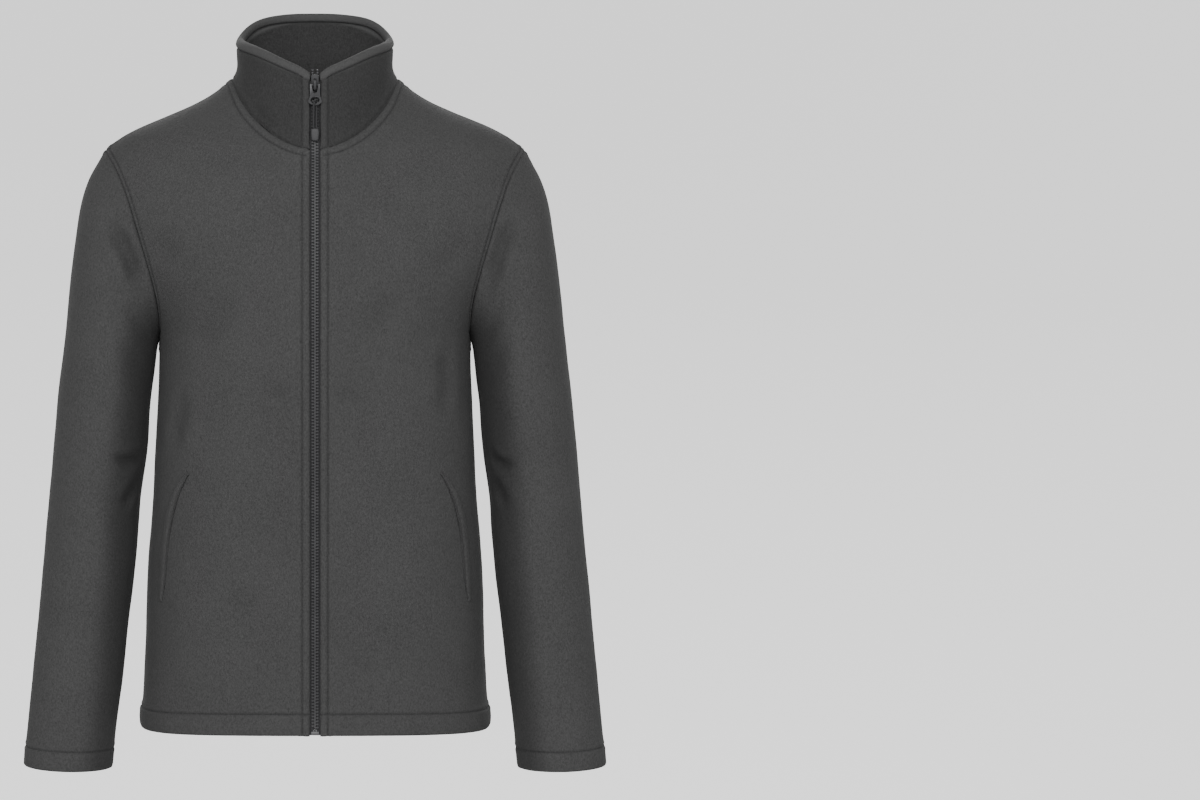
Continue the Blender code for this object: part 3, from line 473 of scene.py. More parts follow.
@dataclass(frozen=True)
class MouldedAcetal:
    """Acetal teeth, injection moulded over the tape: a waxy half-gloss with rubbed edges."""

    name: str = "moulded_acetal"
    base: str = "#111112"
    rubbed: str = "#222223"

    def make(self) -> bpy.types.Material:
        """Build the acetal, paler where the slider rubs its edges."""
        maker = Maker(self.name, {"IOR": 1.48, "Specular IOR Level": 0.2})
        edge = maker.edge_wear(0.48, 0.56)
        cloudy = maker.noise(maker.place(), 900.0, 3.0)
        worn = maker.maths("MULTIPLY", None, {0: edge, 1: cloudy})
        maker.colour(worn, (0.1, self.base), (0.7, self.rubbed))
        maker.rough(cloudy, 0.50, 0.66)
        return maker.material


@dataclass(frozen=True)
class LacqueredZinc:
    """Zinc alloy, die cast and lacquered gunmetal: a satin metal, brighter on rubbed edges."""

    name: str = "gunmetal_lacquered_zinc"
    base: str = "#1b1b1c"
    rubbed: str = "#373738"

    def make(self) -> bpy.types.Material:
        """Build the satin metal with its fine tumbled grain."""
        maker = Maker(self.name, {"Metallic": 0.85})
        edge = maker.edge_wear(0.50, 0.58)
        grain = maker.noise(maker.place(), 2600.0)
        maker.colour(edge, (0.0, self.base), (1.0, self.rubbed))
        maker.rough(grain, 0.52, 0.68)
        maker.bump(grain, 0.12, 0.05 * MM)
        return maker.material


@dataclass(frozen=True)
class BraidedCord:
    """Round polyester cord: a plaited sheath of flat, faintly shiny bundles."""

    name: str = "braided_polyester_cord"
    bundle_mm: float = 0.9
    slant: float = 0.7

    def make(self) -> bpy.types.Material:
        """Build the sheath's two families of slanting bundles."""
        maker = Maker(self.name, {"Roughness": 0.7, "Specular IOR Level": 0.15})
        place, bundles = maker.place(), {}
        for i, turn in enumerate((-self.slant, self.slant)):
            leaned = maker.add(
                "Vector", "ShaderNodeMapping", None, {"Rotation": (0.0, turn, 0.0)},
                {"Vector": place},
            )
            bundles[i] = maker.stripes(leaned, "Z", 0.314 / (self.bundle_mm * MM))
        braid = maker.maths("MINIMUM", None, bundles)
        maker.colour(braid, (0.0, "#0e0e0f"), (0.8, "#242425"))
        maker.bump(braid, 0.6, 0.2 * MM)
        return maker.material


@dataclass(frozen=True)
class MouldedRubber:
    """Soft PVC, moulded round the cord's ends: matt, with a fine spark-eroded texture."""

    name: str = "moulded_soft_pvc"

    def make(self) -> bpy.types.Material:
        """Build the matt plastic."""
        maker = Maker(self.name, {"Roughness": 0.65, "Specular IOR Level": 0.2})
        texture = maker.noise(maker.place(), 1500.0)
        maker.colour(texture, (0.3, "#1b1b1c"), (0.7, "#252526"))
        maker.bump(texture, 0.25, 0.08 * MM)
        return maker.material


@dataclass(frozen=True)
class PaperSweep:
    """The seamless pale paper that the jacket is shown against, evenly bright."""

    name: str = "pale_paper"
    colour: str = "#898989"
    glow: float = 0.94

    def make(self) -> bpy.types.Material:
        """Build the plain paper, with a glow that keeps it even."""
        return Maker(self.name, {
            "Roughness": 0.9, "Specular IOR Level": 0.1, "Base Color": linear(self.colour),
            "Emission Color": linear("#ffffff"), "Emission Strength": self.glow,
        }).material


class Finishes:
    """Every material of the jacket, made once."""

    def __init__(self) -> None:
        """Make the materials."""
        self.fleece = NappedFleece().make()
        self.collar = NappedFleece("napped_fleece_collar", "#171717", "#262626").make()
        self.thread = SpunThread().make()
        self.tape = WovenTape().make()
        self.teeth = MouldedAcetal().make()
        self.metal = LacqueredZinc().make()
        # a darker copy of the gunmetal: painted shade for the collar's shadow over the slider and
        # its stops
        self.slider = LacqueredZinc("gunmetal_painted_shade", "#0f0f10", "#2b2b2c").make()
        self.foot = LacqueredZinc("gunmetal_foot_box", "#262627", "#434344").make()
        self.cord = BraidedCord().make()
        self.rubber = MouldedRubber().make()
        self.paper = PaperSweep().make()


# ------------------------------------------------------------------ sewing
@dataclass(frozen=True)
class Sewn:
    """How a sewn line shapes the cloth beside it, in metres."""

    sink: float
    width: float
    puff: float
    puff_at: float
    # share of darkening along the line: pressed pile and thread, with painted shade in its groove
    shade: float


class LineKind(Enum):
    """The kinds of sewn line on the jacket."""

    SEAM = Sewn(0.7 * MM, 1.4 * MM, 0.50 * MM, 3.6 * MM, 0.45)
    NECK_SEAM = Sewn(0.6 * MM, 1.2 * MM, 0.30 * MM, 3.0 * MM, 0.35)
    TOPSTITCH = Sewn(0.65 * MM, 1.2 * MM, 0.40 * MM, 3.2 * MM, 0.6)
    FAINT = Sewn(0.40 * MM, 1.1 * MM, 0.15 * MM, 3.0 * MM, 0.45)
    FOLDED_EDGE = Sewn(1.1 * MM, 1.0 * MM, 0.30 * MM, 3.6 * MM, 0.0)


class SewnLine:
    """One sewn line on a piece of cloth."""

    def __init__(self, kind: LineKind, points: Chain, stitched: bool) -> None:
        """Sample the line finely.

        Args:
            kind: What the line does to the cloth.
            points: The line's points in order.
            stitched: Whether thread shows along it.
        """
        self.kind = kind
        self.points = resample(points, 0.5 * MM)
        self.stitched = stitched
        self.tree = tree_of(self.points)

    def relief(self, point: Point) -> float:
        """Height that this line gives the cloth at a point."""
        sewn = self.kind.value
        _, _, away = self.tree.find(point)
        swell = sewn.puff * bell(away - sewn.puff_at, sewn.puff_at * 0.55)
        return swell - sewn.sink * bell(away, sewn.width)

    def shade(self, point: Point) -> float:
        """How far the colour darkens at a point along the line: partly its pressed pile and thread,
        partly painted shade in its groove.
        """
        _, _, away = self.tree.find(point)
        return self.kind.value.shade * bell(away, 1.1 * MM)


@dataclass(frozen=True)
class Crease:
    """A soft trough in the cloth: points to pass near, its half width and its depth."""

    path: tuple[tuple[float, float, float], ...]
    width: float
    depth: float


class CreaseLine:
    """A crease laid on a piece, fading towards both of its ends."""

    def __init__(self, crease: Crease, surface: BVHTree) -> None:
        """Lay the crease's path on the cloth.

        Args:
            crease: Its path and sizes.
            surface: The cloth that it lies on.
        """
        self.crease = crease
        rough = resample([Vector(p) for p in crease.path], 4 * MM)
        self.points = [surface.find_nearest(p)[0] for p in smoothed(rough, 6)]
        self.tree = tree_of(self.points)

    def relief(self, point: Point) -> float:
        """Height that this crease gives the cloth at a point, with a low ridge on each side."""
        width = self.crease.width
        _, index, away = self.tree.find(point)
        if away > 3.4 * width:
            return 0.0
        share = index / max(len(self.points) - 1, 1)
        fade = ease(min(share, 1 - share) * 2.6)
        wander = 0.75 + 0.5 * noise.noise(self.points[index] * 45)
        ridge = 0.42 * bell(away - 1.7 * width, 0.9 * width)
        return self.crease.depth * fade * wander * (ridge - bell(away, width))

    def shade(self, point: Point) -> float:
        """How much painted shade darkens the trough at a point."""
        _, index, away = self.tree.find(point)
        share = index / max(len(self.points) - 1, 1)
        steep = min(self.crease.depth / self.crease.width, 0.8)
        fade = ease(min(share, 1 - share) * 2.6)
        return 0.55 * steep * fade * bell(away, 0.9 * self.crease.width)


class Stitches:
    """The thread that shows along topstitched lines."""

    pitch = 3.2 * MM
    half_length = 1.15 * MM
    half_width = 0.27 * MM
    half_height = 0.20 * MM

    def lay(self, shape: Shape, line: Chain, surface: BVHTree) -> None:
        """Lay a row of stitches along a line.

        Args:
            shape: The bmesh that gathers them.
            line: The line's points.
            surface: The finished cloth that they lie on.
        """
        samples = resample(line, self.pitch)
        for ahead, here in zip(samples[1:], samples):
            middle = (ahead + here) / 2
            along = ahead - here
            if along.length < 0.5 * self.pitch:
                continue
            spot, normal, _, _ = surface.find_nearest(middle)
            across = normal.cross(along).normalized()
            along = across.cross(normal).normalized()
            turn = Matrix((along, across, normal)).transposed().to_4x4()
            size = Matrix.Diagonal((self.half_length, self.half_width, self.half_height, 1.0))
            place = Matrix.Translation(spot + normal * 0.05 * MM)
            bmesh.ops.create_icosphere(
                shape, subdivisions=1, radius=1.0, matrix=place @ turn @ size
            )


# ------------------------------------------------------------------ cloth
@dataclass
class Cloth:
    """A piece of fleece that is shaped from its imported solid."""

    name: str
    node: str
    finish: bpy.types.Material
    levels: int = 2
    fine: float = 1.3 * MM
    coarse: float = 6.0 * MM
    wave: float = 0.7 * MM
    sliver: float = 0.15 * MM
    creases: tuple[Crease, ...] = ()
    lines: list[SewnLine] = field(default_factory=list)
    laid: list[CreaseLine] = field(default_factory=list)

    def refine(self, shape: Shape) -> None:
        """Split long edges, down to fine ones beside sewn lines, following the cloth's curve."""
        samples = [point for line in self.lines for point in line.points[::2]]
        tree = tree_of(samples) if samples else None
        troughs = [point for crease in self.laid for point in crease.points]
        folds = tree_of(troughs) if troughs else None
        bmesh.ops.triangulate(shape, faces=shape.faces, quad_method="SHORT_EDGE")
        for _ in range(8):
            shape.normal_update()
            long = []
            for edge in shape.edges:
                length = edge.calc_length()
                if length <= self.fine * 1.4:
                    continue
                limit = self.coarse
                middle = (edge.verts[0].co + edge.verts[1].co) / 2
                if tree:
                    _, _, away = tree.find(middle)
                    limit = min(limit, self.fine + max(0.0, away - 2.5 * MM) * 0.6)
                if folds:
                    _, _, away = folds.find(middle)
                    limit = min(limit, 3.0 * MM + max(0.0, away - 16 * MM) * 0.4)
                if length > limit * 1.4:
                    long.append(edge)
            if not long:
                break
            bmesh.ops.subdivide_edges(shape, edges=long, cuts=1, smooth=0.25, use_grid_fill=True)
            wide = [face for face in shape.faces if len(face.verts) > 3]
            bmesh.ops.triangulate(shape, faces=wide, quad_method="SHORT_EDGE")
            bmesh.ops.dissolve_degenerate(shape, dist=self.sliver, edges=shape.edges)

    def relief(self, point: Point) -> float:
        """Height over the plain cloth at a point, from its lines, creases and slight waviness."""
        total = sum(line.relief(point) for line in self.lines)
        total += sum(crease.relief(point) for crease in self.laid)
        broad, small = noise.noise(point * 14.0), noise.noise(point * 41.0)
        total += self.wave * broad + 0.35 * self.wave * small
        return total

    def lift(self, point: Point) -> float:
        """How much painted highlight lightens a point, from 0 to 1."""
        return 0.0

    def painted_shadow(self, point: Point, normal: Point) -> float:
        """Painted shadow at a point, from what hangs beside it, baked into its colour, from 0 to 1.
        """
        return 0.0

    def shape_cloth(self, shape: Shape) -> None:
        """Move every point by the relief, and note the painted shade at seams, in creases and
        beside the body, and the painted highlight.
        """
        # layer seam holds painted shade, layer lift a painted highlight; the fleece mixes both into
        # its colour
        shade = shape.verts.layers.float.new("seam")
        painted_highlight = shape.verts.layers.float.new("lift")
        shape.normal_update()
        moves = []
        for vert in shape.verts:
            painted_shade = max((line.shade(vert.co) for line in self.lines), default=0.0)
            painted_shade += sum(crease.shade(vert.co) for crease in self.laid)
            painted_shade += self.painted_shadow(vert.co, vert.normal)
            vert[shade] = min(painted_shade, 1.0)
            vert[painted_highlight] = self.lift(vert.co)
            moves.append(vert.normal * self.relief(vert.co))
        for vert, move in zip(shape.verts, moves):
            vert.co += move

    def add_stitches(self, surface: BVHTree, thread: bpy.types.Material) -> bpy.types.Object | None:
        """Make the thread of this piece's stitched lines.

        Args:
            surface: The finished cloth.
            thread: The thread's material.

        Returns:
            One object with every stitch, or None where no thread shows.
        """
        shape = bmesh.new()
        for line in self.lines:
            if line.stitched:
                Stitches().lay(shape, line.points, surface)
        if not shape.verts:
            shape.free()
            return None
        return attach(make_piece(self.name + "_stitching", shape, thread, 80.0), JACKET)

    def rounded(self, joined: float, held: float, sharpness: float) -> Shape:
        """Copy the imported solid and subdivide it.

        Args:
            joined: Triangles that turn by less than these degrees are joined.
            held: Edges that turn by more than these degrees are held.
            sharpness: How firmly they are held, from 0 to 1.

        Returns:
            The rounded solid.
        """
        shape = read_solid(self.node)
        bmesh.ops.join_triangles(
            shape, faces=shape.faces, angle_face_threshold=math.radians(joined),
            angle_shape_threshold=math.pi,
        )
        crease = crease_layer(shape)
        for edge in sharp_edges(shape.edges, held):
            edge[crease] = sharpness
        return subdivide(shape, self.levels)

    def hang(
        self, shape: Shape, surface: BVHTree, thread: bpy.types.Material, sharp_degrees: float,
        flat: tuple[float, float], held: str, area: float,
    ) -> bpy.types.Object:
        """Make the finished piece and its stitching, and log its area of cloth.

        Args:
            shape: The finished bmesh, freed here.
            surface: The cloth that the stitches lie on.
            thread: The material of the stitching.
            sharp_degrees: Edges that turn further than this stay crisp.
            flat: Its width and length before it was hung; not used.
            held: How it is held; not used.
            area: Its flat area.

        Returns:
            The finished cloth.
        """
        piece = make_piece(self.name, shape, self.finish, sharp_degrees)
        stitching = self.add_stitches(surface, thread)
        attach(piece, JACKET, self.node)
        LOG.info("%s: %.4f m2 of cloth", self.name, area)
        return piece


class EdgeKind(Enum):
    """The edges that a flat piece of the pattern can have."""

    ZIP = "zip"
    HEM = "hem"
    SIDE = "side"
    SHOULDER = "shoulder"
    NECK = "neck"
    ARMHOLE = "armhole"
    CUFF = "cuff"


HEM_BELOW = -0.675
CUFF_BELOW = -0.69
ARMPIT = -0.269
SHOULDER_ABOVE = -0.0755
NECK_HALF = 0.0885
ARMHOLE_OUT = 0.13  # edges further out than this and not at a seam are the armhole's
ZIP_HALF = 6.5 * MM
SEAM_DEPTH = 1 * MM  # side and shoulder seams lie this near to the middle of the depth
LEVEL_LEAN = 0.7  # the hem's edges rise by less than this share of their length


def body_edge(a: Point, b: Point) -> EdgeKind:
    """Name a front's or the back's edge from its two ends."""
    middle, lean = (a + b) / 2, abs((a - b).normalized().z)
    if middle.z < HEM_BELOW and lean < LEVEL_LEAN:
        return EdgeKind.HEM
    if abs(middle.x) < ZIP_HALF and middle.y < 0:
        return EdgeKind.ZIP
    if abs(middle.y) < SEAM_DEPTH and middle.z < ARMPIT:
        return EdgeKind.SIDE
    if abs(middle.y) < SEAM_DEPTH and middle.z > SHOULDER_ABOVE and abs(middle.x) > NECK_HALF:
        return EdgeKind.SHOULDER
    return EdgeKind.ARMHOLE if abs(middle.x) > ARMHOLE_OUT else EdgeKind.NECK


def sleeve_edge(a: Point, b: Point) -> EdgeKind:
    """Name a sleeve's edge from its two ends."""
    return EdgeKind.CUFF if (a.z + b.z) / 2 < CUFF_BELOW else EdgeKind.ARMHOLE


@dataclass
class ClothPanel(Cloth):
    """One cut piece of the body or a sleeve: a single layer with its hem turned up inside."""

    name_edge: Callable[[Point, Point], EdgeKind] = body_edge
    thickness: float = 2.5 * MM
    fold_radius: float = 2.65 * MM
    turn_up: float = 22.0 * MM
    hem_reach: float = 15.0 * MM
    shorter: float = 0.0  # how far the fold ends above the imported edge
    keep_side: int = 0  # -1 and 1 keep the piece in front of and behind the side seams
    topstitches: tuple[tuple[EdgeKind, float], ...] = ()
    edges: dict[EdgeKind, list[Chain]] = field(default_factory=dict)
    armhole: Chain = field(default_factory=list)  # its armhole edges, once the cloth is shaped
    torn: Chain = field(default_factory=list)  # corners of the holes that were filled
    tear_size: float = 0.17
    tear_reach: float = 20.0 * MM
    zip_clear: float = 9.5 * MM  # a front's hem is not turned up nearer to the zip than this
    taper_from: float = 9.0 * MM
    taper_over: float = 14.0 * MM
    flat: tuple[float, float] = (0.5, 0.7)  # those of the pieces are first guesses, too large

    def skin(self) -> Shape:
        """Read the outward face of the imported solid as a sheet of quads."""
        shape = read_solid(self.node)
        middle = sum((v.co for v in shape.verts), Vector()) / len(shape.verts)
        left = set(shape.faces)
        best, best_score = [], -math.inf
        while left:
            region, queue = [], [left.pop()]
            while queue:
                face = queue.pop()
                region.append(face)
                for edge in face.edges:
                    if edge.calc_face_angle(math.pi) > math.radians(50):
                        continue
                    for other in edge.link_faces:
                        if other in left:
                            left.remove(other)
                            queue.append(other)
            score = sum(
                f.calc_area() * f.normal.dot(f.calc_center_median() - middle) for f in region
            )
            if score > best_score:
                best, best_score = region, score
        keep = set(best)
        outside = [face for face in shape.faces if face not in keep]
        bmesh.ops.delete(shape, geom=outside, context="FACES")
        self.torn = self.close_tears(shape)
        bmesh.ops.join_triangles(
            shape, faces=shape.faces, angle_face_threshold=math.pi,
            angle_shape_threshold=math.pi, topology_influence=2.0,
        )
        return shape

    def close_tears(self, shape: Shape) -> Chain:
        """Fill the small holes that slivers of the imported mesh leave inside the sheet.

        Args:
            shape: The sheet.

        Returns:
            The corners of every hole.
        """
        rims = {edge for edge in shape.edges if edge.is_boundary}
        corners = []
        while rims:
            queue, loop = [rims.pop()], []
            while queue:
                edge = queue.pop()
                loop.append(edge)
                for vert in edge.verts:
                    for other in vert.link_edges:
                        if other in rims:
                            rims.remove(other)
                            queue.append(other)
            if sum(edge.calc_length() for edge in loop) < self.tear_size:
                corners += [vert.co.copy() for edge in loop for vert in edge.verts]
                bmesh.ops.holes_fill(shape, edges=loop, sides=0)
        return corners

    def relax_tears(self, shape: Shape) -> None:
        """Fair the sheet round the filled holes."""
        if not self.torn:
            return
        near = tree_of(self.torn)
        loose = [
            vert for vert in shape.verts
            if not vert.is_boundary and near.find(vert.co)[2] < self.tear_reach
        ]
        for _ in range(30):
            bmesh.ops.smooth_vert(
                shape, verts=loose, factor=0.5, use_axis_x=True, use_axis_y=True, use_axis_z=True
            )

    def find_edges(self, shape: Shape) -> dict[EdgeKind, list[Chain]]:
        """Sort the sheet's border into named chains of points.

        Args:
            shape: The sheet.

        Returns:
            Chains by kind; a closed one repeats its first point.
        """
        kinds: dict[EdgeKind, dict[bmesh.types.BMVert, list[bmesh.types.BMVert]]] = {}
        for edge in shape.edges:
            if edge.is_boundary:
                a, b = edge.verts
                near = kinds.setdefault(self.name_edge(a.co, b.co), {})
                near.setdefault(a, []).append(b)
                near.setdefault(b, []).append(a)
        chains: dict[EdgeKind, list[Chain]] = {}
        for kind, near in kinds.items():
            unused = set(near)
            while unused:
                ends = [v for v in unused if len(near[v]) == 1]
                start = min(ends or unused, key=lambda v: (v.co.z, v.co.x))
                walk, vert = [start], start
                unused.remove(start)
                while True:
                    following = [v for v in near[vert] if v in unused]
                    if not following:
                        break
                    vert = following[0]
                    unused.remove(vert)
                    walk.append(vert)
                if not ends and len(walk) > 2:
                    walk.append(start)
                chains.setdefault(kind, []).append([v.co.copy() for v in walk])
        return chains

    def parallel(self, chain: Chain, inset: float, surface: BVHTree) -> Chain:
        """A line on the cloth at a distance in from one of its edges.

        Args:
            chain: The edge.
            inset: The distance.
            surface: The cloth.

        Returns:
            The line's points.
        """
        samples = resample(chain, 2 * MM)
        steps = max(int(inset / (5 * MM)), 1)
        line = []
        for i, sample in enumerate(samples):
            tangent = samples[min(i + 1, len(samples) - 1)] - samples[max(i - 1, 0)]
            _, normal, _, _ = surface.find_nearest(sample)
            inward = normal.cross(tangent).normalized()
            ahead = surface.find_nearest(sample + inward * 3 * MM)[3]
            behind = surface.find_nearest(sample - inward * 3 * MM)[3]
            if behind < ahead:
                inward = -inward
            spot = sample
            for _ in range(steps):
                spot = surface.find_nearest(spot + inward * inset / steps)[0]
            line.append(spot)
        return smoothed(line, 4)

    def plan(self, shape: Shape) -> BVHTree:
        """Lay out every sewn line and crease on the plain cloth."""
        surface = BVHTree.FromBMesh(shape)
        self.edges = self.find_edges(shape)
        for kind, chains in self.edges.items():
            if kind in (EdgeKind.HEM, EdgeKind.CUFF):
                continue
            line = {
                EdgeKind.ZIP: LineKind.FOLDED_EDGE, EdgeKind.NECK: LineKind.NECK_SEAM
            }.get(kind, LineKind.SEAM)
            self.lines += [SewnLine(line, chain, False) for chain in chains]
        for kind, inset in self.topstitches:
            for chain in self.edges.get(kind, []):
                self.lines.append(
                    SewnLine(LineKind.TOPSTITCH, self.parallel(chain, inset, surface), True)
                )
        self.plan_more(surface)
        self.laid = [CreaseLine(crease, surface) for crease in self.creases]
        return surface

    def plan_more(self, surface: BVHTree) -> None:
        """Add the lines that only this piece has."""

    def hem_frames(
        self, shape: Shape
    ) -> tuple[list[bmesh.types.BMEdge], dict[bmesh.types.BMVert, tuple[Vector, Vector, Vector]]]:
        """Find the edges that are turned up, with each point's place, normal and way down.

        Args:
            shape: The shaped sheet.

        Returns:
            The border edges, and the frames by border point.
        """
        fold = [
            edge for edge in shape.edges
            if edge.is_boundary
            and self.name_edge(edge.verts[0].co, edge.verts[1].co) in (EdgeKind.HEM, EdgeKind.CUFF)
            and not (
                self.keep_side < 0 and min(abs(v.co.x) for v in edge.verts) < self.zip_clear
            )
        ]
        fold_set = set(fold)
        frames = {}
        for edge in fold:
            for vert in edge.verts:
                if vert in frames:
                    continue
                mates = [e.other_vert(vert).co for e in vert.link_edges if e in fold_set]
                tangent = mates[0] - (mates[1] if len(mates) > 1 else vert.co)
                down = vert.normal.cross(tangent).normalized()
                if down.z > 0:
                    down = -down
                frames[vert] = (vert.co.copy(), vert.normal.copy(), down)
        return fold, frames

    def draw_in_hem(self, shape: Shape) -> None:
        """Draw the hem up by its fold's own depth, so that the fold ends where the edge was."""
        shape.normal_update()
        frames = list(self.hem_frames(shape)[1].values())
        near = tree_of([place for place, _, _ in frames])
        for vert in shape.verts:
            _, index, away = near.find(vert.co)
            if away < self.hem_reach:
                rise = self.fold_radius * self.taper(frames[index][0]) + self.shorter
                vert.co -= frames[index][2] * rise * ease(1 - away / self.hem_reach)
        shape.normal_update()

    def taper(self, point: Point) -> float:
        """Share of the hem's fold at a point: a front's runs out beside the zip."""
        if self.keep_side >= 0:
            return 1.0
        return ease((abs(point.x) - self.taper_from) / self.taper_over)

    def turn_hem(self, shape: Shape, surface: BVHTree) -> None:
        """Turn the hem up inside: round the fold, then up behind the outer layer.

        Args:
            shape: The shaped sheet.
            surface: The same sheet, to lie behind.
        """
        fold, frames = self.hem_frames(shape)
        # the layer of painted shade; the turned-up hem gets none
        shade = shape.verts.layers.float["seam"]
        steps = [(math.pi * i / 6, 0.0) for i in range(1, 7)]
        steps += [(math.pi, self.turn_up * i / 5) for i in range(1, 6)]
        edges, owners = fold, {vert: vert for vert in frames}
        for angle, up in steps:
            made = bmesh.ops.extrude_edge_only(shape, edges=edges)["geom"]
            fresh = [item for item in made if isinstance(item, bmesh.types.BMVert)]
            known = set(fresh)
            following = {}
            for vert in fresh:
                source = next(
                    edge.other_vert(vert) for edge in vert.link_edges
                    if edge.other_vert(vert) not in known
                )
                first = owners[source]
                following[vert] = first
                start, normal, down = frames[first]
                radius = self.fold_radius
                if up:
                    near, turned, _, _ = surface.find_nearest(start - down * up)
                    vert.co = near - turned * 2 * radius
                else:
                    vert.co = start + down * radius * self.taper(start) * math.sin(angle)
                    vert.co -= normal * radius * (1 - math.cos(angle))
                vert[shade] = 0.0
            owners = following
            edges = [
                item for item in made
                if isinstance(item, bmesh.types.BMEdge)
                and item.verts[0] in known and item.verts[1] in known
            ]

    def thicken(self, shape: Shape) -> Shape:
        """Give the sheet its thickness, on its inner side."""

        def dress(holder: bpy.types.Object) -> None:
            """Add the wall to the working object."""
            wall = holder.modifiers.new("wall", "SOLIDIFY")
            wall.thickness = self.thickness
            wall.offset = -1.0
            wall.use_rim = True
            wall.use_quality_normals = True

        thick = after_modifiers(shape, dress)
        if self.keep_side:
            for vert in thick.verts:
                if self.keep_side * vert.co.y < SEWN_GAP:
                    vert.co.y = self.keep_side * SEWN_GAP
        return thick

    def fit(self, shape: Shape, finished: bool) -> None:
        """Leave the sheet's edges as they are; a sleeve brings its edges to the pieces that they
        are sewn to.

        Args:
            shape: The sheet; not used here.
            finished: Whether it is shaped already; not used here.
        """

    def build(self, thread: bpy.types.Material) -> bpy.types.Object:
        """Make the whole piece.

        Args:
            thread: The material of its stitching.

        Returns:
            The finished cloth.
        """
        shape = subdivide(self.skin(), self.levels)
        self.relax_tears(shape)
        self.fit(shape, False)
        self.plan(shape)
        self.refine(shape)
        shape.verts.index_update()
        rims = {
            vert.index for edge in shape.edges if edge.is_boundary for vert in edge.verts
            if self.name_edge(edge.verts[0].co, edge.verts[1].co) is EdgeKind.ARMHOLE
        }
        self.shape_cloth(shape)
        self.armhole = [vert.co.copy() for vert in shape.verts if vert.index in rims]
        self.fit(shape, True)
        self.draw_in_hem(shape)
        surface = BVHTree.FromBMesh(shape)
        self.turn_hem(shape, surface)
        area = sum(face.calc_area() for face in shape.faces)
        return self.hang(
            self.thicken(shape), surface, thread, 60.0, self.flat, "hung", round(area, 4)
        )


@dataclass
class Front(ClothPanel):
    """One of the two fronts, from the zip to the side seam."""

    side: int = 1
    keep_side: int = -1
    topstitches: tuple[tuple[EdgeKind, float], ...] = (
        (EdgeKind.ZIP, 7.9 * MM), (EdgeKind.NECK, 8.0 * MM), (EdgeKind.ARMHOLE, 4.6 * MM),
        (EdgeKind.HEM, 23.0 * MM),
    )
    flat: tuple[float, float] = (0.285, 0.735)


@dataclass
class Back(ClothPanel):
    """The back, in one piece from side seam to side seam."""

    keep_side: int = 1
    topstitches: tuple[tuple[EdgeKind, float], ...] = (
        (EdgeKind.NECK, 8.0 * MM), (EdgeKind.ARMHOLE, 4.6 * MM), (EdgeKind.HEM, 23.0 * MM),
    )
    flat: tuple[float, float] = (0.58, 0.76)
    half_moon: tuple[tuple[float, float], ...] = (  # half of the patch's stitching: across, height
        (0.0, -0.0687), (0.0124, -0.0677), (0.0300, -0.0648), (0.0487, -0.0584), (0.0694, -0.0460),
        (0.0828, -0.0316), (0.0890, -0.0202), (0.0915, -0.0110),
    )

    def plan_more(self, surface: BVHTree) -> None:
        """Add the faint line that holds the half-moon inside the neck."""
        half = [Vector((x, 0.30, z)) for x, z in self.half_moon]
        whole = [Vector((-p.x, p.y, p.z)) for p in reversed(half[1:])] + half
        line = []
        for point in resample(smoothed(resample(whole, 3 * MM), 5), 2 * MM):
            spot = surface.ray_cast(point, Vector((0, -1, 0)))[0]
            if spot is not None and spot.y > 0:
                line.append(spot)
        self.lines.append(SewnLine(LineKind.FAINT, line, True))


@dataclass
class Sleeve(ClothPanel):
    """One sleeve, from the armhole to the cuff, with its seam under the arm."""

    side: int = 1
    name_edge: Callable[[Point, Point], EdgeKind] = sleeve_edge
    topstitches: tuple[tuple[EdgeKind, float], ...] = ((EdgeKind.CUFF, 24.5 * MM),)
    shorter: float = 3.0 * MM
    flat: tuple[float, float] = (0.47, 0.72)
    head_above: float = -0.29  # the armhole's edge lies above this height
    rough_reach: float = 22.0 * MM
    fine_reach: float = 11.0 * MM
    # the painted shadow on the sleeve's side beside the body: its most, where it starts and over
    # how far it grows
    painted_shadow_most: float = 0.75
    painted_shadow_below: float = -0.17
    painted_shadow_over: float = 0.10
    mates: list[Chain] = field(default_factory=list)
    body_edges: Chain = field(default_factory=list)
    under_arm: tuple[tuple[float, float, float], ...] = (  # the sleeve's seam, down its inner side
        (0.1655, 0.000, -0.2700), (0.1677, 0.000, -0.2840), (0.1705, 0.002, -0.3080),
        (0.1758, 0.003, -0.3640), (0.1800, 0.001, -0.4040), (0.1849, -0.004, -0.4560),
        (0.1905, -0.011, -0.5120), (0.1984, -0.019, -0.5820), (0.2072, -0.026, -0.6580),
        (0.2140, -0.030, -0.7110), (0.2160, -0.031, -0.7330),
    )

    def fit(self, shape: Shape, finished: bool) -> None:
        """Bring the sleeve's head to the body's armhole.

        Args:
            shape: The sleeve.
            finished: Whether it is shaped already.
        """
        if finished:
            tree, reach = tree_of(self.body_edges), self.fine_reach
        else:
            tree = tree_of([point for chain in self.mates for point in resample(chain, 0.5 * MM)])
            reach = self.rough_reach
        shape.normal_update()
        border, moves = [], []
        for vert in shape.verts:
            if vert.is_boundary and vert.co.z > self.head_above:
                goal = tree.find(vert.co)[0]
                border.append(vert.co.copy())
                moves.append(goal - vert.co)
        near = tree_of(border)
        for vert in shape.verts:
            _, index, away = near.find(vert.co)
            if away < reach:
                vert.co += moves[index] * ease(1 - away / reach)
        shape.normal_update()

    def painted_shadow(self, point: Point, normal: Point) -> float:
        """Painted shadow on the side that hangs close to the body, below the armpit, that stays in
        any light.
        """
        below = ease((self.painted_shadow_below - point.z) / self.painted_shadow_over)
        return self.painted_shadow_most * below * ease((-self.side * normal.x - 0.2) / 0.55)

    def plan_more(self, surface: BVHTree) -> None:
        """Add the seam under the arm."""
        path = [Vector((self.side * x, y, z)) for x, y, z in self.under_arm]
        line = [surface.find_nearest(point)[0] for point in resample(path, 3 * MM)]
        self.lines.append(SewnLine(LineKind.SEAM, smoothed(line, 3), False))


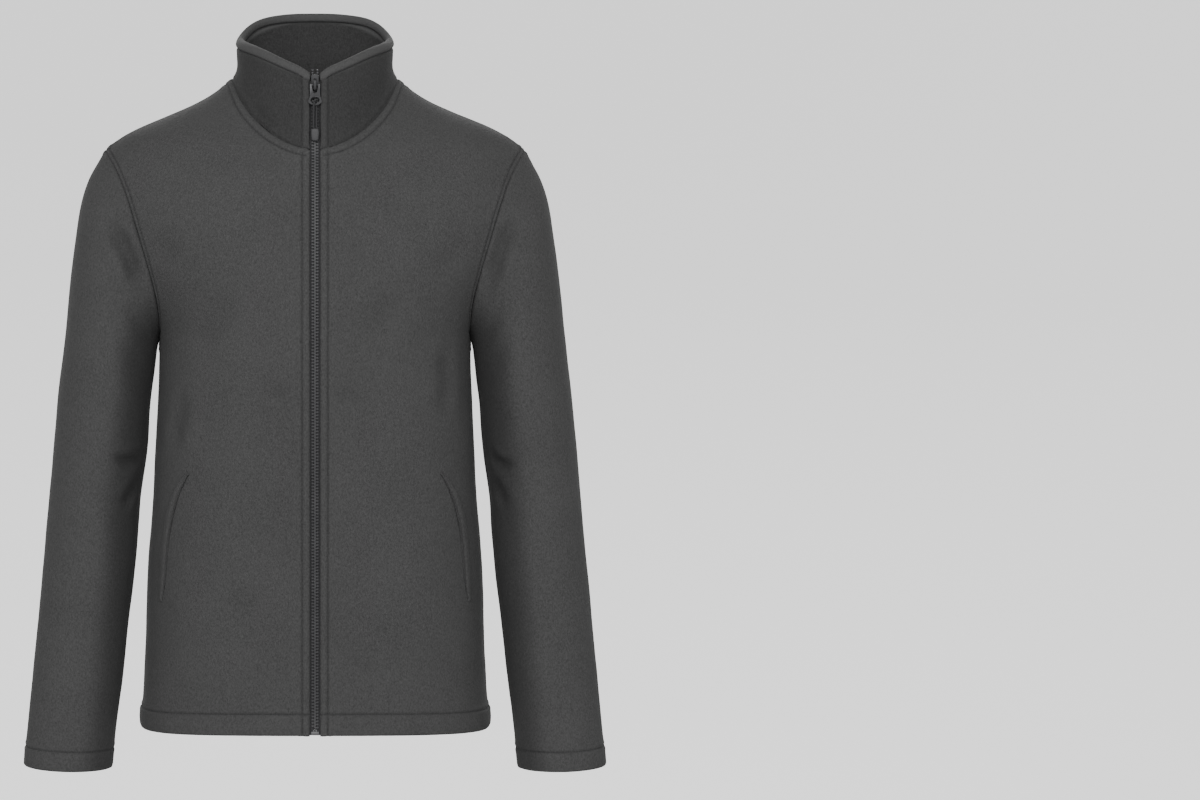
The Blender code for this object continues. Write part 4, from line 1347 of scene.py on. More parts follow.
# ------------------------------------------------------------------ collar, pockets and patch
@dataclass
class Collar(Cloth):
    """The stand collar: one folded piece with a rolled top edge."""

    groove_drop: float = 10.2 * MM
    placket: float = 13.4 * MM
    half_wide: float = 0.083
    deep_front: float = 0.0905
    deep_back: float = 0.0590
    overlap: float = 1.2 * MM  # how far its foot reaches over the neck's edge
    upright_foot: float = -0.074  # the lines beside the zip start here
    upright_step: float = 0.0022
    upright_count: int = 40
    tops: tuple[tuple[float, float], ...] = (  # turn from the zip in degrees, top edge's height
        (3.56, 0.0055), (10.5, 0.0115), (20.0, 0.0170), (30.0, 0.0228), (40.0, 0.0285),
        (50.0, 0.0328), (60.0, 0.0360), (70.0, 0.0385), (80.0, 0.0410), (90.0, 0.0437),
        (100.0, 0.0472), (110.0, 0.0528), (120.0, 0.0588), (130.0, 0.0638), (140.0, 0.0672),
        (155.0, 0.0700), (180.0, 0.0712),
    )

    def top(self, turn: float) -> float:
        """Height of the top edge at a turn from the zip."""
        degrees = min(abs(math.degrees(turn)), 180.0)
        for (a, low), (b, high) in zip(self.tops, self.tops[1:]):
            if degrees <= b:
                return low + (high - low) * max(degrees - a, 0.0) / (b - a)
        return self.tops[-1][1]

    def ring(
        self, surface: BVHTree, start: float, end: float, height: Callable[[float], float],
        outside: bool,
    ) -> Chain:
        """A line round the collar on one of its faces.

        Args:
            surface: The collar.
            start: First turn from the zip, in degrees.
            end: Last turn.
            height: Height at a turn.
            outside: Whether it lies on the outer face.

        Returns:
            The line's points.
        """
        line = []
        count = int((end - start) / 1.5)
        for i in range(count + 1):
            turn = math.radians(start + (end - start) * i / count)
            deep = self.deep_front if math.cos(turn) > 0 else self.deep_back
            aim = Vector((self.half_wide * math.sin(turn), -deep * math.cos(turn), height(turn)))
            centre = Vector((0.0, 0.0, aim.z))
            away = (aim - centre) * (1.35 if outside else 0.0)
            direction = (centre - aim) if outside else (aim - centre)
            spot = surface.ray_cast(centre + away, direction.normalized())[0]
            if spot is not None:
                line.append(spot)
        return smoothed(line, 3)

    def build(self, thread: bpy.types.Material) -> bpy.types.Object:
        """Make the collar.

        Args:
            thread: The material of its stitching.

        Returns:
            The finished collar.
        """
        shape = self.rounded(20, 62, 0.7)
        surface = BVHTree.FromBMesh(shape)

        def under_roll(turn: float) -> float:
            """Height of the groove under the roll."""
            wrapped = abs((turn + math.pi) % math.tau - math.pi)
            return self.top(wrapped) - self.groove_drop

        first = math.degrees(math.asin(self.placket / self.half_wide))
        for outside in (True, False):
            groove = self.ring(surface, first, 360 - first, under_roll, outside)
            self.lines.append(SewnLine(LineKind.TOPSTITCH, groove, outside))
        for side in (-1, 1):
            upright = []
            for i in range(self.upright_count):
                height = self.upright_foot + i * self.upright_step
                aim = Vector((side * self.placket, -0.2, height))
                if aim.z < self.top(math.asin(self.placket / self.half_wide)) - self.groove_drop:
                    spot = surface.ray_cast(aim, Vector((0, 1, 0)))[0]
                    if spot is not None and spot.y < -0.05:
                        upright.append(spot)
            self.lines.append(SewnLine(LineKind.TOPSTITCH, upright, True))
            edge = [Vector((side * 5.6 * MM, point.y, point.z)) for point in upright]
            self.lines.append(SewnLine(LineKind.FOLDED_EDGE, edge, False))
        foot = self.ring(surface, 5, 355, self.foot_height, True)
        self.lines.append(SewnLine(LineKind.NECK_SEAM, foot, False))
        self.laid = [CreaseLine(item, surface) for item in self.creases]
        self.refine(shape)
        self.shape_cloth(shape)
        for vert in shape.verts:
            over = vert.co.z - self.foot_height(math.atan2(vert.co.x, -vert.co.y))
            vert.co.z -= self.overlap * ease(1 - over / (6 * MM))
        surface = BVHTree.FromBMesh(shape)
        area = sum(face.calc_area() for face in shape.faces)
        return self.hang(
            shape, surface, thread, 70.0, (0.54, 0.11), "folded", round(area / 2, 4)
        )

    def lift(self, point: Point) -> float:
        """Painted highlight: the rolled edge and the strips beside the zip are painted lighter than
        the faces, where they catch more light.
        """
        turn = math.atan2(point.x, -point.y)
        rolled = ease((point.z - self.top(turn) + self.groove_drop) / (3 * MM) + 0.5)
        beside = ease((self.placket - abs(point.x)) / (3 * MM) + 0.5) if point.y < 0 else 0.0
        return max(rolled, 0.3 * beside)

    def foot_height(self, turn: float) -> float:
        """Height just over the neck seam at a turn from the zip."""
        forward = math.cos(turn)
        seam = -0.0735 * forward**1.5 if forward >= 0 else 0.003 * forward**2
        return seam + 0.8 * MM


@dataclass
class Pocket(Cloth):
    """The turned and stitched edge of one slanted pocket, lying on its front."""

    front: Front | None = None
    plain: BVHTree | None = None
    flush_from: float = -0.455  # below this height the edge sinks into the front
    flush_over: float = 50.0 * MM
    flush_sink: float = 1.3 * MM

    def build(self, thread: bpy.types.Material) -> bpy.types.Object:
        """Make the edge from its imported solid, moved as the front's own cloth is.

        Args:
            thread: The material of its stitching.

        Returns:
            The finished edge.
        """
        shape = self.rounded(30, 50, 0.55)
        moves = []
        for vert in shape.verts:
            spot, normal, _, _ = self.plain.find_nearest(vert.co)
            down = ease((self.flush_from - vert.co.z) / self.flush_over)
            moves.append(normal * (self.front.relief(spot) - self.flush_sink * down))
        for vert, move in zip(shape.verts, moves):
            vert.co += move
        rows = {}
        for vert in shape.verts:
            rows.setdefault(round(vert.co.z / (2.4 * MM)), []).append(vert.co)
        side = self.front.side
        middle, free = [], []
        for key in sorted(rows):
            outs = [side * co.x for co in rows[key]]
            height = sum(co.z for co in rows[key]) / len(outs)
            depth = min(co.y for co in rows[key])
            across = max(outs) * 0.42 + min(outs) * 0.58
            middle.append(Vector((side * across, depth - 0.002, height)))
            free.append(Vector((side * max(outs), depth - 0.002, height)))
        surface = BVHTree.FromBMesh(shape)
        line = [surface.find_nearest(point)[0] for point in smoothed(middle[1:-1], 4)]
        lip = [surface.find_nearest(point)[0] for point in smoothed(free[1:-1], 4)]
        self.lines = [
            SewnLine(LineKind.FAINT, line, True), SewnLine(LineKind.FOLDED_EDGE, lip, False),
        ]
        self.refine(shape)
        self.shape_cloth(shape)
        surface = BVHTree.FromBMesh(shape)
        return self.hang(shape, surface, thread, 70.0, (0.017, 0.160), "folded", 0.0018)


@dataclass
class NeckPatch(Cloth):
    """The half-moon of fleece inside the back of the neck."""

    def build(self, thread: bpy.types.Material) -> bpy.types.Object:
        """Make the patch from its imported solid.

        Args:
            thread: The material of its stitching.

        Returns:
            The finished patch.
        """
        shape = self.rounded(30, 50, 0.6)
        inset = BVHTree.FromBMesh(shape)
        rim = []
        for i in range(41):
            turn = math.pi * i / 40
            aim = Vector((0.0795 * math.cos(turn), 0.0, -0.008 - 0.0555 * math.sin(turn)))
            spot = inset.ray_cast(aim, Vector((0, 1, 0)))[0]
            if spot is not None:
                rim.append(spot)
        self.lines = [SewnLine(LineKind.TOPSTITCH, rim, True)]
        self.refine(shape)
        self.shape_cloth(shape)
        surface = BVHTree.FromBMesh(shape)
        return self.hang(shape, surface, thread, 70.0, (0.185, 0.085), "stretched", 0.0118)


# ------------------------------------------------------------------ zip
@dataclass
class Zip:
    """The closed zip: two rows of moulded teeth, its foot box and its slider."""

    finishes: Finishes
    pitch: float = 3.3 * MM  # a guess; the real one may be 2.7 mm
    tooth_high: float = 2.35 * MM
    tooth_thick: float = 2.5 * MM
    reach_out: float = 3.85 * MM
    reach_in: float = 1.05 * MM

    def chain_line(self) -> Chain:
        """The middle of the chain, from its foot up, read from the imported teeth."""
        shape = read_solid("zip_teeth_left")
        rows: dict[int, list[Vector]] = {}
        for vert in shape.verts:
            if abs(vert.co.x) < 1 * MM:
                rows.setdefault(round(vert.co.z / (0.2 * MM)), []).append(vert.co.copy())
        shape.free()
        line = []
        for key in sorted(rows):
            group = rows[key]
            line.append(sum(group, Vector()) / len(group))
        line = [Vector((0.0, point.y, point.z)) for point in line]
        return smoothed(resample(line, 4 * MM), 12)

    def tooth(self) -> bpy.types.Mesh:
        """One tooth, across +X from its head at the middle to its foot on the tape."""
        shape = bmesh.new()
        bmesh.ops.create_cube(shape, size=1.0)
        across = [e for e in shape.edges if abs((e.verts[0].co - e.verts[1].co).x) > 0.5]
        bmesh.ops.subdivide_edges(shape, edges=across, cuts=3, use_grid_fill=True)
        outline = {  # share across: place, height and thickness there
            -0.5: (-self.reach_in, 0.62, 0.78), -0.25: (0.25 * MM, 1.0, 0.92),
            0.0: (1.35 * MM, 0.66, 0.92), 0.25: (2.2 * MM, 0.86, 1.0),
            0.5: (self.reach_out, 0.92, 0.9),
        }
        for vert in shape.verts:
            place, high, thick = outline[round(vert.co.x * 4) / 4]
            vert.co = Vector((
                place, math.copysign(self.tooth_thick * thick / 2, vert.co.y),
                math.copysign(self.tooth_high * high / 2, vert.co.z),
            ))
        bevel(shape, sharp_edges(shape.edges, 50), 0.28 * MM, 1)
        bmesh.ops.recalc_face_normals(shape, faces=shape.faces)
        mesh = bpy.data.meshes.new("tooth")
        shape.to_mesh(mesh)
        shape.free()
        return mesh

    def build_teeth(self) -> None:
        """Set both rows of teeth along the chain, one row half a pitch above the other."""
        line = self.chain_line()
        steps = resample(line, self.pitch / 2)
        tooth = self.tooth()
        for side, name in ((1, "left"), (-1, "right")):
            shape = bmesh.new()
            first = 1 if side > 0 else 2
            for i in range(first, len(steps) - 1, 2):
                up = (steps[i + 1] - steps[i - 1]).normalized()
                back = Vector((1, 0, 0)).cross(up) * -1
                across = Vector((side, 0, 0))
                turn = Matrix((across, back, up)).transposed().to_4x4()
                place = Matrix.Translation(steps[i]) @ turn
                tooth.transform(place)
                shape.from_mesh(tooth)
                tooth.transform(place.inverted())
            bmesh.ops.recalc_face_normals(shape, faces=shape.faces)
            piece = make_piece(f"teeth_{name}", shape, self.finishes.teeth, 35.0)
            attach(piece, JACKET, f"zip_teeth_{name}")
        bpy.data.meshes.remove(tooth)

    def build_tape_edges(self) -> None:
        """The corded edge of each tape, which its teeth are moulded round."""
        line = self.chain_line()
        foot = Vector((0.0, line[0].y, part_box("zip_foot")[0][2]))
        line = smoothed(resample([foot] + line, 4 * MM), 2)
        line = [point + Vector((0.0, 0.5 * MM, 0.0)) for point in line]
        section = (  # distance from the middle and depth: a thick cord, then the flat tape
            (0.04, -0.4), (0.45, -0.75), (1.2, -0.8), (1.7, -0.35), (4.7, -0.3), (4.7, 0.3),
            (1.7, 0.35), (1.2, 0.8), (0.45, 0.75), (0.04, 0.4),
        )
        for side, name in ((1, "left"), (-1, "right")):
            shape = bmesh.new()
            rings = []
            for point in line:
                ring = [Vector((side * out * MM, deep * MM, 0.0)) for out, deep in section]
                rings.append([shape.verts.new(point + place) for place in ring])
            for below, above in zip(rings, rings[1:]):
                for j in range(len(section)):
                    k = (j + 1) % len(section)
                    shape.faces.new((below[j], below[k], above[k], above[j]))
            shape.faces.new(rings[0])
            shape.faces.new(rings[-1])
            bmesh.ops.recalc_face_normals(shape, faces=shape.faces)
            piece = make_piece(f"tape_cord_{name}", shape, self.finishes.tape, 40.0)
            attach(piece, JACKET)

    def add_block(
        self, shape: Shape, low: Vector, high: Vector, radius: float, segments: int = 2
    ) -> None:
        """Add a block with rounded edges to a metal part.

        Args:
            shape: The part.
            low: Lowest corner.
            high: Highest corner.
            radius: Radius of its edges.
            segments: Steps round each edge.
        """
        size = high - low
        place = Matrix.Translation((low + high) / 2) @ Matrix.Diagonal((*size, 1.0))
        made = bmesh.ops.create_cube(shape, size=1.0, matrix=place)
        edges = list({edge for vert in made["verts"] for edge in vert.link_edges})
        bevel(shape, edges, radius, segments)

    def plate(
        self, shape: Shape, outline: Sequence[tuple[float, float]], near: float, far: float
    ) -> None:
        """Add a slider plate with a rounded outline.

        Args:
            shape: The part.
            outline: Half of it, from the top down: half width and height.
            near: Depth of its front.
            far: Depth of its back.
        """
        points = [Vector((x, near, z)) for x, z in outline]
        points += [Vector((-x, near, z)) for x, z in reversed(outline)]
        ring = [shape.verts.new(point) for point in points]
        face = shape.faces.new(ring)
        made = bmesh.ops.extrude_face_region(shape, geom=[face])["geom"]
        moved = [item for item in made if isinstance(item, bmesh.types.BMVert)]
        bmesh.ops.translate(shape, vec=Vector((0.0, far - near, 0.0)), verts=moved)
        faces = {f for vert in ring + moved for f in vert.link_faces}
        bmesh.ops.recalc_face_normals(shape, faces=list(faces))
        bevel(shape, sharp_edges({edge for f in faces for edge in f.edges}, 60), 0.32 * MM, 2)

    def build_foot(self) -> None:
        """The box and pin at the foot of the zip."""
        low, high = (Vector(corner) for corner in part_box("zip_foot"))
        shape = bmesh.new()
        middle = (low.z + high.z) / 2
        self.add_block(shape, low, Vector((high.x, high.y, middle + 0.9 * MM)), 0.45 * MM)
        for side in (-1, 1):
            a = Vector((side * 0.55 * MM, low.y + 0.4 * MM, middle))
            b = Vector((side * 2.2 * MM, high.y - 0.4 * MM, high.z))
            near = Vector((min(a.x, b.x), a.y, a.z))
            far = Vector((max(a.x, b.x), b.y, b.z))
            self.add_block(shape, near, far, 0.25 * MM, 1)
        piece = make_piece("foot_box", shape, self.finishes.foot, 35.0)
        attach(piece, JACKET, "zip_foot")

    def build_slider(self) -> None:
        """The slider: two waisted plates with side walls, a post, and the bail over the front."""
        low, high = (Vector(corner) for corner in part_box("zip_slider"))
        bow = low.y
        front = low.y + 5.2 * MM
        back = high.y - 1.4 * MM
        shape = bmesh.new()
        half, top, foot = high.x, high.z, low.z + 1.7 * MM
        outline = (
            (1.3 * MM, top), (2.7 * MM, top - 0.4 * MM), (3.7 * MM, top - 1.4 * MM),
            (half, top - 3.0 * MM), (half, top - 6.0 * MM), (3.75 * MM, top - 9.5 * MM),
            (3.4 * MM, foot + 1.0 * MM), (2.9 * MM, foot),
        )
        self.plate(shape, outline, front, front + 1.4 * MM)
        self.plate(shape, outline, back, back + 1.4 * MM)
        for side in (-1, 1):
            for near, far in (
                (front + 1.0 * MM, front + 2.2 * MM), (back - 0.8 * MM, back + 0.4 * MM),
            ):
                inner, outer = sorted((side * 3.35 * MM, side * 4.0 * MM))
                self.add_block(
                    shape, Vector((inner, near, foot + 2.5 * MM)),
                    Vector((outer, far, top - 3.2 * MM)), 0.15 * MM, 1,
                )
        self.add_block(
            shape, Vector((-1.5 * MM, front + 0.6 * MM, -5.2 * MM)),
            Vector((1.5 * MM, back + 0.8 * MM, top - 1.2 * MM)), 0.3 * MM, 1,
        )
        self.add_bail(shape, bow, front)
        bmesh.ops.recalc_face_normals(shape, faces=shape.faces)
        piece = make_piece("slider", shape, self.finishes.slider, 35.0)
        attach(piece, JACKET, "zip_slider")

    def add_bail(self, shape: Shape, bow: float, front: float) -> None:
        """Add the bail, a bent strip that the tab hangs from.

        Args:
            shape: The slider.
            bow: Depth of the bail's outermost face.
            front: Depth of the slider's front plate.
        """
        top, foot, thick = -1.0 * MM, -14.2 * MM, 1.2 * MM
        rise = front + 0.8 * MM - bow
        middle = (top + foot) / 2
        half = (top - foot) / 2
        rings = []
        for i in range(17):
            turn = math.pi * i / 16
            spread = math.copysign(abs(math.cos(turn)) ** 0.55, math.cos(turn))
            lift = math.sin(turn) ** 0.7
            ring = []
            for inset in (0.0, thick):
                z = middle + (half - inset) * spread
                y = front + 0.8 * MM - (rise - inset) * lift
                for x in (-1.3 * MM, 1.3 * MM):
                    ring.append(shape.verts.new((x, y, z)))
            rings.append([ring[0], ring[1], ring[3], ring[2]])
        made = []
        for a, b in zip(rings, rings[1:]):
            for j in range(4):
                k = (j + 1) % 4
                made.append(shape.faces.new((a[j], a[k], b[k], b[j])))
        made += [shape.faces.new(rings[0]), shape.faces.new(rings[-1])]
        bmesh.ops.recalc_face_normals(shape, faces=made)
        edges = {edge for face in made for edge in face.edges}
        bevel(shape, sharp_edges(edges, 60), 0.25 * MM, 2)

    def build_stops(self) -> None:
        """The two little metal stops clamped to the tapes over the slider."""
        shape = bmesh.new()
        depth = self.chain_line()[-1].y
        for side in (-1, 1):
            for level in (4.6 * MM, 7.4 * MM):
                inner, outer = sorted((side * 1.5 * MM, side * 3.6 * MM))
                self.add_block(
                    shape, Vector((inner, depth - 1.2 * MM, level - 1.1 * MM)),
                    Vector((outer, depth + 1.2 * MM, level + 1.1 * MM)), 0.4 * MM,
                )
        piece = make_piece("top_stops", shape, self.finishes.slider, 35.0)
        attach(piece, JACKET)

    def build(self) -> None:
        """Make the whole zip, and dress its tapes."""
        self.build_teeth()
        self.build_tape_edges()
        self.build_foot()
        self.build_slider()
        self.build_stops()
        for name in ("zip_tape_left", "zip_tape_right"):
            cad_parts[name].data.materials.clear()
            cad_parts[name].data.materials.append(self.finishes.tape)


@dataclass
class Puller:
    """The forked tab with its looped cord and the moulded end."""

    finishes: Finishes
    axis_y: float = -92.198 * MM
    radius: float = 1.2 * MM
    knots: tuple[tuple[float, float, float], ...] = (  # half of the loop, in millimetres
        (-1.4, 0.0, -52.2), (-1.4, 0.0, -43.2), (-1.4, -0.8, -36.2), (-1.33, -2.4, -29.1),
        (-0.84, -1.92, -26.3), (0.0, 0.0, -25.2),
    )

    def build_tab(self) -> None:
        """Round every edge of the tab as the casting and tumbling leave it."""
        shape = read_solid("pull_tab")
        bmesh.ops.dissolve_limit(
            shape, angle_limit=math.radians(2), verts=shape.verts, edges=shape.edges
        )

        def dress(holder: bpy.types.Object) -> None:
            """Add the bevel to the working object."""
            rounding = holder.modifiers.new("rounding", "BEVEL")
            rounding.width = 0.32 * MM
            rounding.segments = 3
            rounding.limit_method = "ANGLE"
            rounding.angle_limit = math.radians(50)

        piece = make_piece("forked_tab", after_modifiers(shape, dress), self.finishes.metal, 40.0)
        attach(piece, PULLER, "pull_tab")

    def cord_points(self) -> Chain:
        """The cord's route, from one strand's foot through the tab to the other's."""
        half = [Vector(k) for k in self.knots]
        knots = half + [Vector((-p.x, -p.y, p.z)) for p in reversed(half[:-1])]
        knots = [Vector((p.x * MM, self.axis_y + p.y * MM, p.z * MM)) for p in knots]
        ends = [knots[0] * 2 - knots[1]] + knots + [knots[-1] * 2 - knots[-2]]
        path = []
        for a, b, c, d in zip(ends, ends[1:], ends[2:], ends[3:]):
            for step in range(4):
                t = step / 4
                bend = (2 * a - 5 * b + 4 * c - d) * t**2 + (3 * b - a - 3 * c + d) * t**3
                path.append(b + ((c - a) * t + bend) / 2)
        return path + [knots[-1]]

    def build_cord(self) -> None:
        """The doubled cord and its moulded end."""
        path = self.cord_points()
        curve = bpy.data.curves.new("looped_cord", "CURVE")
        curve.dimensions = "3D"
        curve.bevel_depth = self.radius
        curve.bevel_resolution = 4
        curve.use_fill_caps = True
        spline = curve.splines.new("POLY")
        spline.points.add(len(path) - 1)
        for target, point in zip(spline.points, path):
            target.co = (*point, 1.0)
        spline.use_smooth = True
        curve.materials.append(self.finishes.cord)
        cord = bpy.data.objects.new("looped_cord", curve)
        bpy.context.scene.collection.objects.link(cord)
        shape = read_solid("puller_end")
        bmesh.ops.dissolve_limit(
            shape, angle_limit=math.radians(1), verts=shape.verts, edges=shape.edges
        )
        end = make_piece("moulded_end", subdivide(shape, 3), self.finishes.rubber, 60.0)
        attach(cord, PULLER, "puller_cord")
        attach(end, PULLER, "puller_end")

    def build(self) -> None:
        """Make the tab, the cord and its end."""
        self.build_tab()
        self.build_cord()


# ------------------------------------------------------------------ studio
@dataclass
class Studio:
    """A pale seamless bowl with large soft lamps and the camera."""

    paper: bpy.types.Material
    floor: float = -1.45
    radius: float = 7.0
    wall: float = 4.5
    camera_place: tuple[float, float, float] = (0.0, -3.8, -0.060)
    camera_pitch: float = -4.2352
    camera_lens: float = 107.134
    camera_shift: float = 0.2375

    def build_bowl(self) -> None:
        """Spin a floor that curves up into a round wall."""
        shape = bmesh.new()
        profile = [(0.0, self.floor), (self.radius * 0.4, self.floor)]
        for i in range(9):
            turn = math.pi / 2 * i / 8
            out = self.radius * 0.55 + self.radius * 0.45 * math.sin(turn)
            up = self.floor + self.radius * 0.45 * (1 - math.cos(turn))
            profile.append((out, up))
        profile.append((self.radius, self.floor + self.wall + self.radius * 0.45))
        verts = [shape.verts.new((out, 0.0, up)) for out, up in profile]
        edges = [shape.edges.new(pair) for pair in zip(verts, verts[1:])]
        bmesh.ops.spin(
            shape, geom=verts + edges, cent=(0, 0, 0), axis=(0, 0, 1), angle=math.tau, steps=96,
            use_merge=True,
        )
        bmesh.ops.remove_doubles(shape, verts=shape.verts, dist=1e-5)
        bmesh.ops.recalc_face_normals(shape, faces=shape.faces)
        bmesh.ops.reverse_faces(shape, faces=shape.faces)
        bowl = make_piece("paper_bowl", shape, self.paper, 60.0)

    def add_lamp(self, name: str, place: Sequence[float], size: float, power: float) -> None:
        """Add one soft square lamp that faces the jacket.

        Args:
            name: Its name.
            place: Where it stands.
            size: Its side.
            power: Its power in watts.
        """
        lamp = bpy.data.lights.new(name, "AREA")
        lamp.shape = "SQUARE"
        lamp.size = size
        lamp.energy = power
        stand = bpy.data.objects.new(name, lamp)
        stand.location = place
        aim = Vector((0.0, 0.0, -0.15)) - Vector(place)
        stand.rotation_euler = aim.to_track_quat("-Z", "Y").to_euler()
        stand.visible_camera = False
        bpy.context.scene.collection.objects.link(stand)

    def build_lamps(self) -> None:
        """Two big lamps in front, one behind on each side, and an even surround."""
        self.add_lamp("key", (-1.3, -4.4, 2.1), 2.6, 400.0)
        self.add_lamp("fill", (1.2, -4.5, 1.5), 2.6, 280.0)
        self.add_lamp("top", (0.0, -0.2, 3.4), 3.0, 6.0)
        self.add_lamp("rear_left", (1.4, 4.2, 2.4), 2.4, 230.0)
        self.add_lamp("rear_right", (-1.4, 4.2, 2.4), 2.4, 200.0)
        world = bpy.data.worlds.new("surround")
        world.use_nodes = True
        ground = world.node_tree.nodes["Background"]
        ground.inputs["Color"].default_value = linear("#f2f2f2")
        ground.inputs["Strength"].default_value = 0.2
        bpy.context.scene.world = world

    def build_camera(self) -> None:
        """Stand the camera in front, a little above the collar, with its frame shifted aside."""
        lens = bpy.data.cameras.new("camera")
        lens.lens = self.camera_lens
        lens.sensor_width = 36.0
        lens.shift_x = self.camera_shift
        camera = bpy.data.objects.new("camera", lens)
        camera.location = self.camera_place
        camera.rotation_euler = (math.radians(90 + self.camera_pitch), 0.0, 0.0)
        bpy.context.scene.collection.objects.link(camera)
        bpy.context.scene.camera = camera

    def build(self) -> None:
        """Make the whole studio."""
        self.build_camera()
        self.build_bowl()
        self.build_lamps()


def plain_surface(node: str, levels: int) -> BVHTree:
    """The smooth outward face of a packed panel, before it is creased."""
    return BVHTree.FromBMesh(subdivide(ClothPanel(node, node, None).skin(), levels))


FRONT_CREASES = {
    -1: (
        Crease(((-0.0866, -0.1120, -0.2140), (-0.1023, -0.1048, -0.2505),
                (-0.1290, -0.0857, -0.2880)), 16 * MM, 4.1 * MM),
        Crease(((-0.0556, -0.1201, -0.3273), (-0.0246, -0.1260, -0.3290)), 10 * MM, 2.0 * MM),
        Crease(((-0.1345, -0.0807, -0.3145), (-0.1432, -0.0740, -0.3569),
                (-0.1510, -0.0660, -0.3997)), 12 * MM, 3.8 * MM),
        Crease(((-0.1730, -0.0719, -0.1666), (-0.1442, -0.0878, -0.1859),
                (-0.1158, -0.1011, -0.2010)), 14 * MM, 1.9 * MM),
        Crease(((-0.1029, -0.1044, -0.5426), (-0.0538, -0.1151, -0.5538)), 14 * MM, 2.2 * MM),
    ),
    1: (
        Crease(((0.0943, -0.1094, -0.2141), (0.0683, -0.1180, -0.2499),
                (0.0425, -0.1224, -0.2755)), 16 * MM, 3.6 * MM),
        Crease(((0.0219, -0.1267, -0.3217), (0.0498, -0.1211, -0.3387)), 10 * MM, 2.0 * MM),
        Crease(((0.1327, -0.0813, -0.2726), (0.1382, -0.0766, -0.3148),
                (0.1327, -0.0852, -0.3613)), 12 * MM, 4.3 * MM),
        Crease(((0.1670, -0.0758, -0.1686), (0.1415, -0.0893, -0.1869),
                (0.1099, -0.1035, -0.2040)), 14 * MM, 1.9 * MM),
        Crease(((0.0272, -0.1183, -0.5984), (0.0731, -0.1110, -0.6236)), 16 * MM, 2.2 * MM),
    ),
}
BACK_CREASES = (
    Crease(((0.0807, 0.1135, -0.2863), (0.0954, 0.1070, -0.3335), (0.1019, 0.1015, -0.3860),
            (0.1137, 0.0939, -0.4547)), 15 * MM, 5.2 * MM),
    Crease(((-0.0774, 0.1159, -0.2448), (-0.0890, 0.1102, -0.2917), (-0.1007, 0.1041, -0.3389),
            (-0.1135, 0.0956, -0.3865)), 13 * MM, 6.1 * MM),
    Crease(((0.1783, 0.0745, -0.1749), (0.1711, 0.0734, -0.1937)), 8 * MM, 2.2 * MM),
    Crease(((-0.1655, 0.0822, -0.1767), (-0.1593, 0.0821, -0.1934)), 8 * MM, 2.2 * MM),
    Crease(((0.1547, 0.0575, -0.3952), (0.1536, 0.0597, -0.4319),
            (0.1481, 0.0698, -0.4784)), 14 * MM, 5.0 * MM),
    Crease(((-0.1458, 0.0697, -0.3941), (-0.1448, 0.0707, -0.4308),
            (-0.1394, 0.0781, -0.4775)), 14 * MM, 4.8 * MM),
    Crease(((0.2021, 0.0539, -0.1085), (0.1754, 0.0631, -0.0959),
            (0.1467, 0.0759, -0.0958)), 13 * MM, 2.2 * MM),
    Crease(((-0.1977, 0.0582, -0.1126), (-0.1743, 0.0649, -0.0979),
            (-0.1425, 0.0789, -0.0978)), 13 * MM, 2.2 * MM),
)
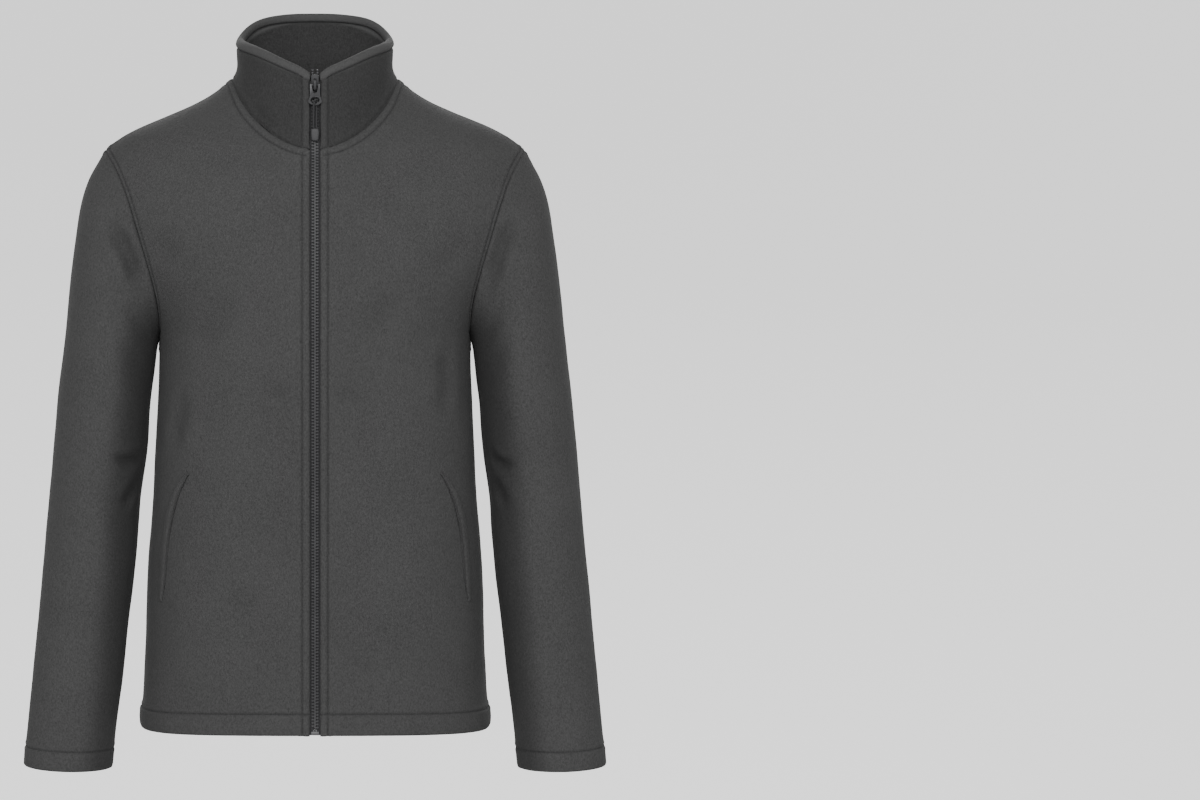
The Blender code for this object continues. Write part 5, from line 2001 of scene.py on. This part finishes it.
SLEEVE_CREASES = {
    -1: (
        Crease(((-0.2253, -0.0501, -0.1442), (-0.2101, -0.0600, -0.1586),
                (-0.1953, -0.0651, -0.1814), (-0.1850, -0.0637, -0.2087),
                (-0.1771, -0.0567, -0.2341)), 8.5 * MM, 7.5 * MM),
        Crease(((-0.1835, -0.0224, -0.3983), (-0.1932, -0.0415, -0.4040),
                (-0.2041, -0.0548, -0.4017), (-0.2162, -0.0628, -0.3936)), 6.5 * MM, 4.9 * MM),
        Crease(((-0.1868, -0.0224, -0.4228), (-0.1944, -0.0407, -0.4359),
                (-0.2045, -0.0511, -0.4540)), 8 * MM, 3.8 * MM),
        Crease(((-0.2145, 0.0593, -0.1502), (-0.2039, 0.0637, -0.1689),
                (-0.1935, 0.0642, -0.1898)), 7 * MM, 4.9 * MM),
        Crease(((-0.2108, 0.0086, -0.5900), (-0.2271, 0.0221, -0.5963)), 9 * MM, 2.9 * MM),
        Crease(((-0.1900, 0.0280, -0.3900), (-0.2060, 0.0500, -0.4010),
                (-0.2230, 0.0560, -0.3990)), 9 * MM, 2.5 * MM),
    ),
    1: (
        Crease(((0.2172, -0.0518, -0.1399), (0.2032, -0.0608, -0.1565), (0.1926, -0.0648, -0.1793),
                (0.1844, -0.0635, -0.2108), (0.1775, -0.0562, -0.2362)), 8.5 * MM, 7.0 * MM),
        Crease(((0.1837, -0.0267, -0.3894), (0.1906, -0.0372, -0.4034),
                (0.2005, -0.0506, -0.4074), (0.2126, -0.0605, -0.4012)), 6.5 * MM, 4.3 * MM),
        Crease(((0.1881, -0.0261, -0.4246), (0.1957, -0.0432, -0.4357),
                (0.2049, -0.0510, -0.4582)), 8 * MM, 3.5 * MM),
        Crease(((0.2145, 0.0599, -0.1523), (0.2039, 0.0637, -0.1689),
                (0.1935, 0.0643, -0.1919)), 7 * MM, 5.2 * MM),
        Crease(((0.2062, 0.0119, -0.5655), (0.2184, 0.0224, -0.5727),
                (0.2318, 0.0296, -0.5695)), 9 * MM, 2.6 * MM),
    ),
}
COLLAR_CREASES = (
    Crease(((-0.0667, -0.0549, -0.0240), (-0.0539, -0.0707, -0.0428),
            (-0.0424, -0.0804, -0.0584)), 6 * MM, 2.3 * MM),
    Crease(((0.0397, -0.0792, -0.0356), (0.0512, -0.0743, -0.0522)), 6 * MM, 1.4 * MM),
    Crease(((0.050, 0.045, 0.030), (0.038, 0.052, 0.014)), 6 * MM, 1.4 * MM),
)


def main() -> None:
    """Build every sub-assembly in order and report each one."""
    logging.basicConfig(level=logging.INFO, format="%(message)s")
    finishes = Finishes()
    Studio(finishes.paper).build()
    Puller(finishes).build()
    Zip(finishes).build()
    back = Back("back_panel", "back", finishes.fleece, creases=BACK_CREASES)
    back.build(finishes.thread)
    for side, word in ((1, "left"), (-1, "right")):
        front = Front(
            f"front_panel_{word}", f"front_{word}", finishes.fleece, side=side,
            creases=FRONT_CREASES[side],
        )
        front.build(finishes.thread)
        plain = plain_surface(f"front_{word}", front.levels)
        Pocket(
            f"pocket_edge_{word}", f"pocket_{word}", finishes.fleece, front=front, plain=plain,
            wave=0.0,
        ).build(finishes.thread)
        mates = front.edges[EdgeKind.ARMHOLE]
        mates = mates + [c for c in back.edges[EdgeKind.ARMHOLE] if c[0].x * side > 0]
        Sleeve(
            f"sleeve_piece_{word}", f"sleeve_{word}", finishes.fleece, side=side, mates=mates,
            body_edges=front.armhole + [point for point in back.armhole if point.x * side > 0],
            creases=SLEEVE_CREASES[side],
        ).build(finishes.thread)
    Collar(
        "stand_collar", "collar", finishes.collar, wave=0.4 * MM, creases=COLLAR_CREASES
    ).build(finishes.thread)
    NeckPatch("half_moon", "neck_patch", finishes.fleece, wave=0.0).build(finishes.thread)


if __name__ == "__main__":
    main()
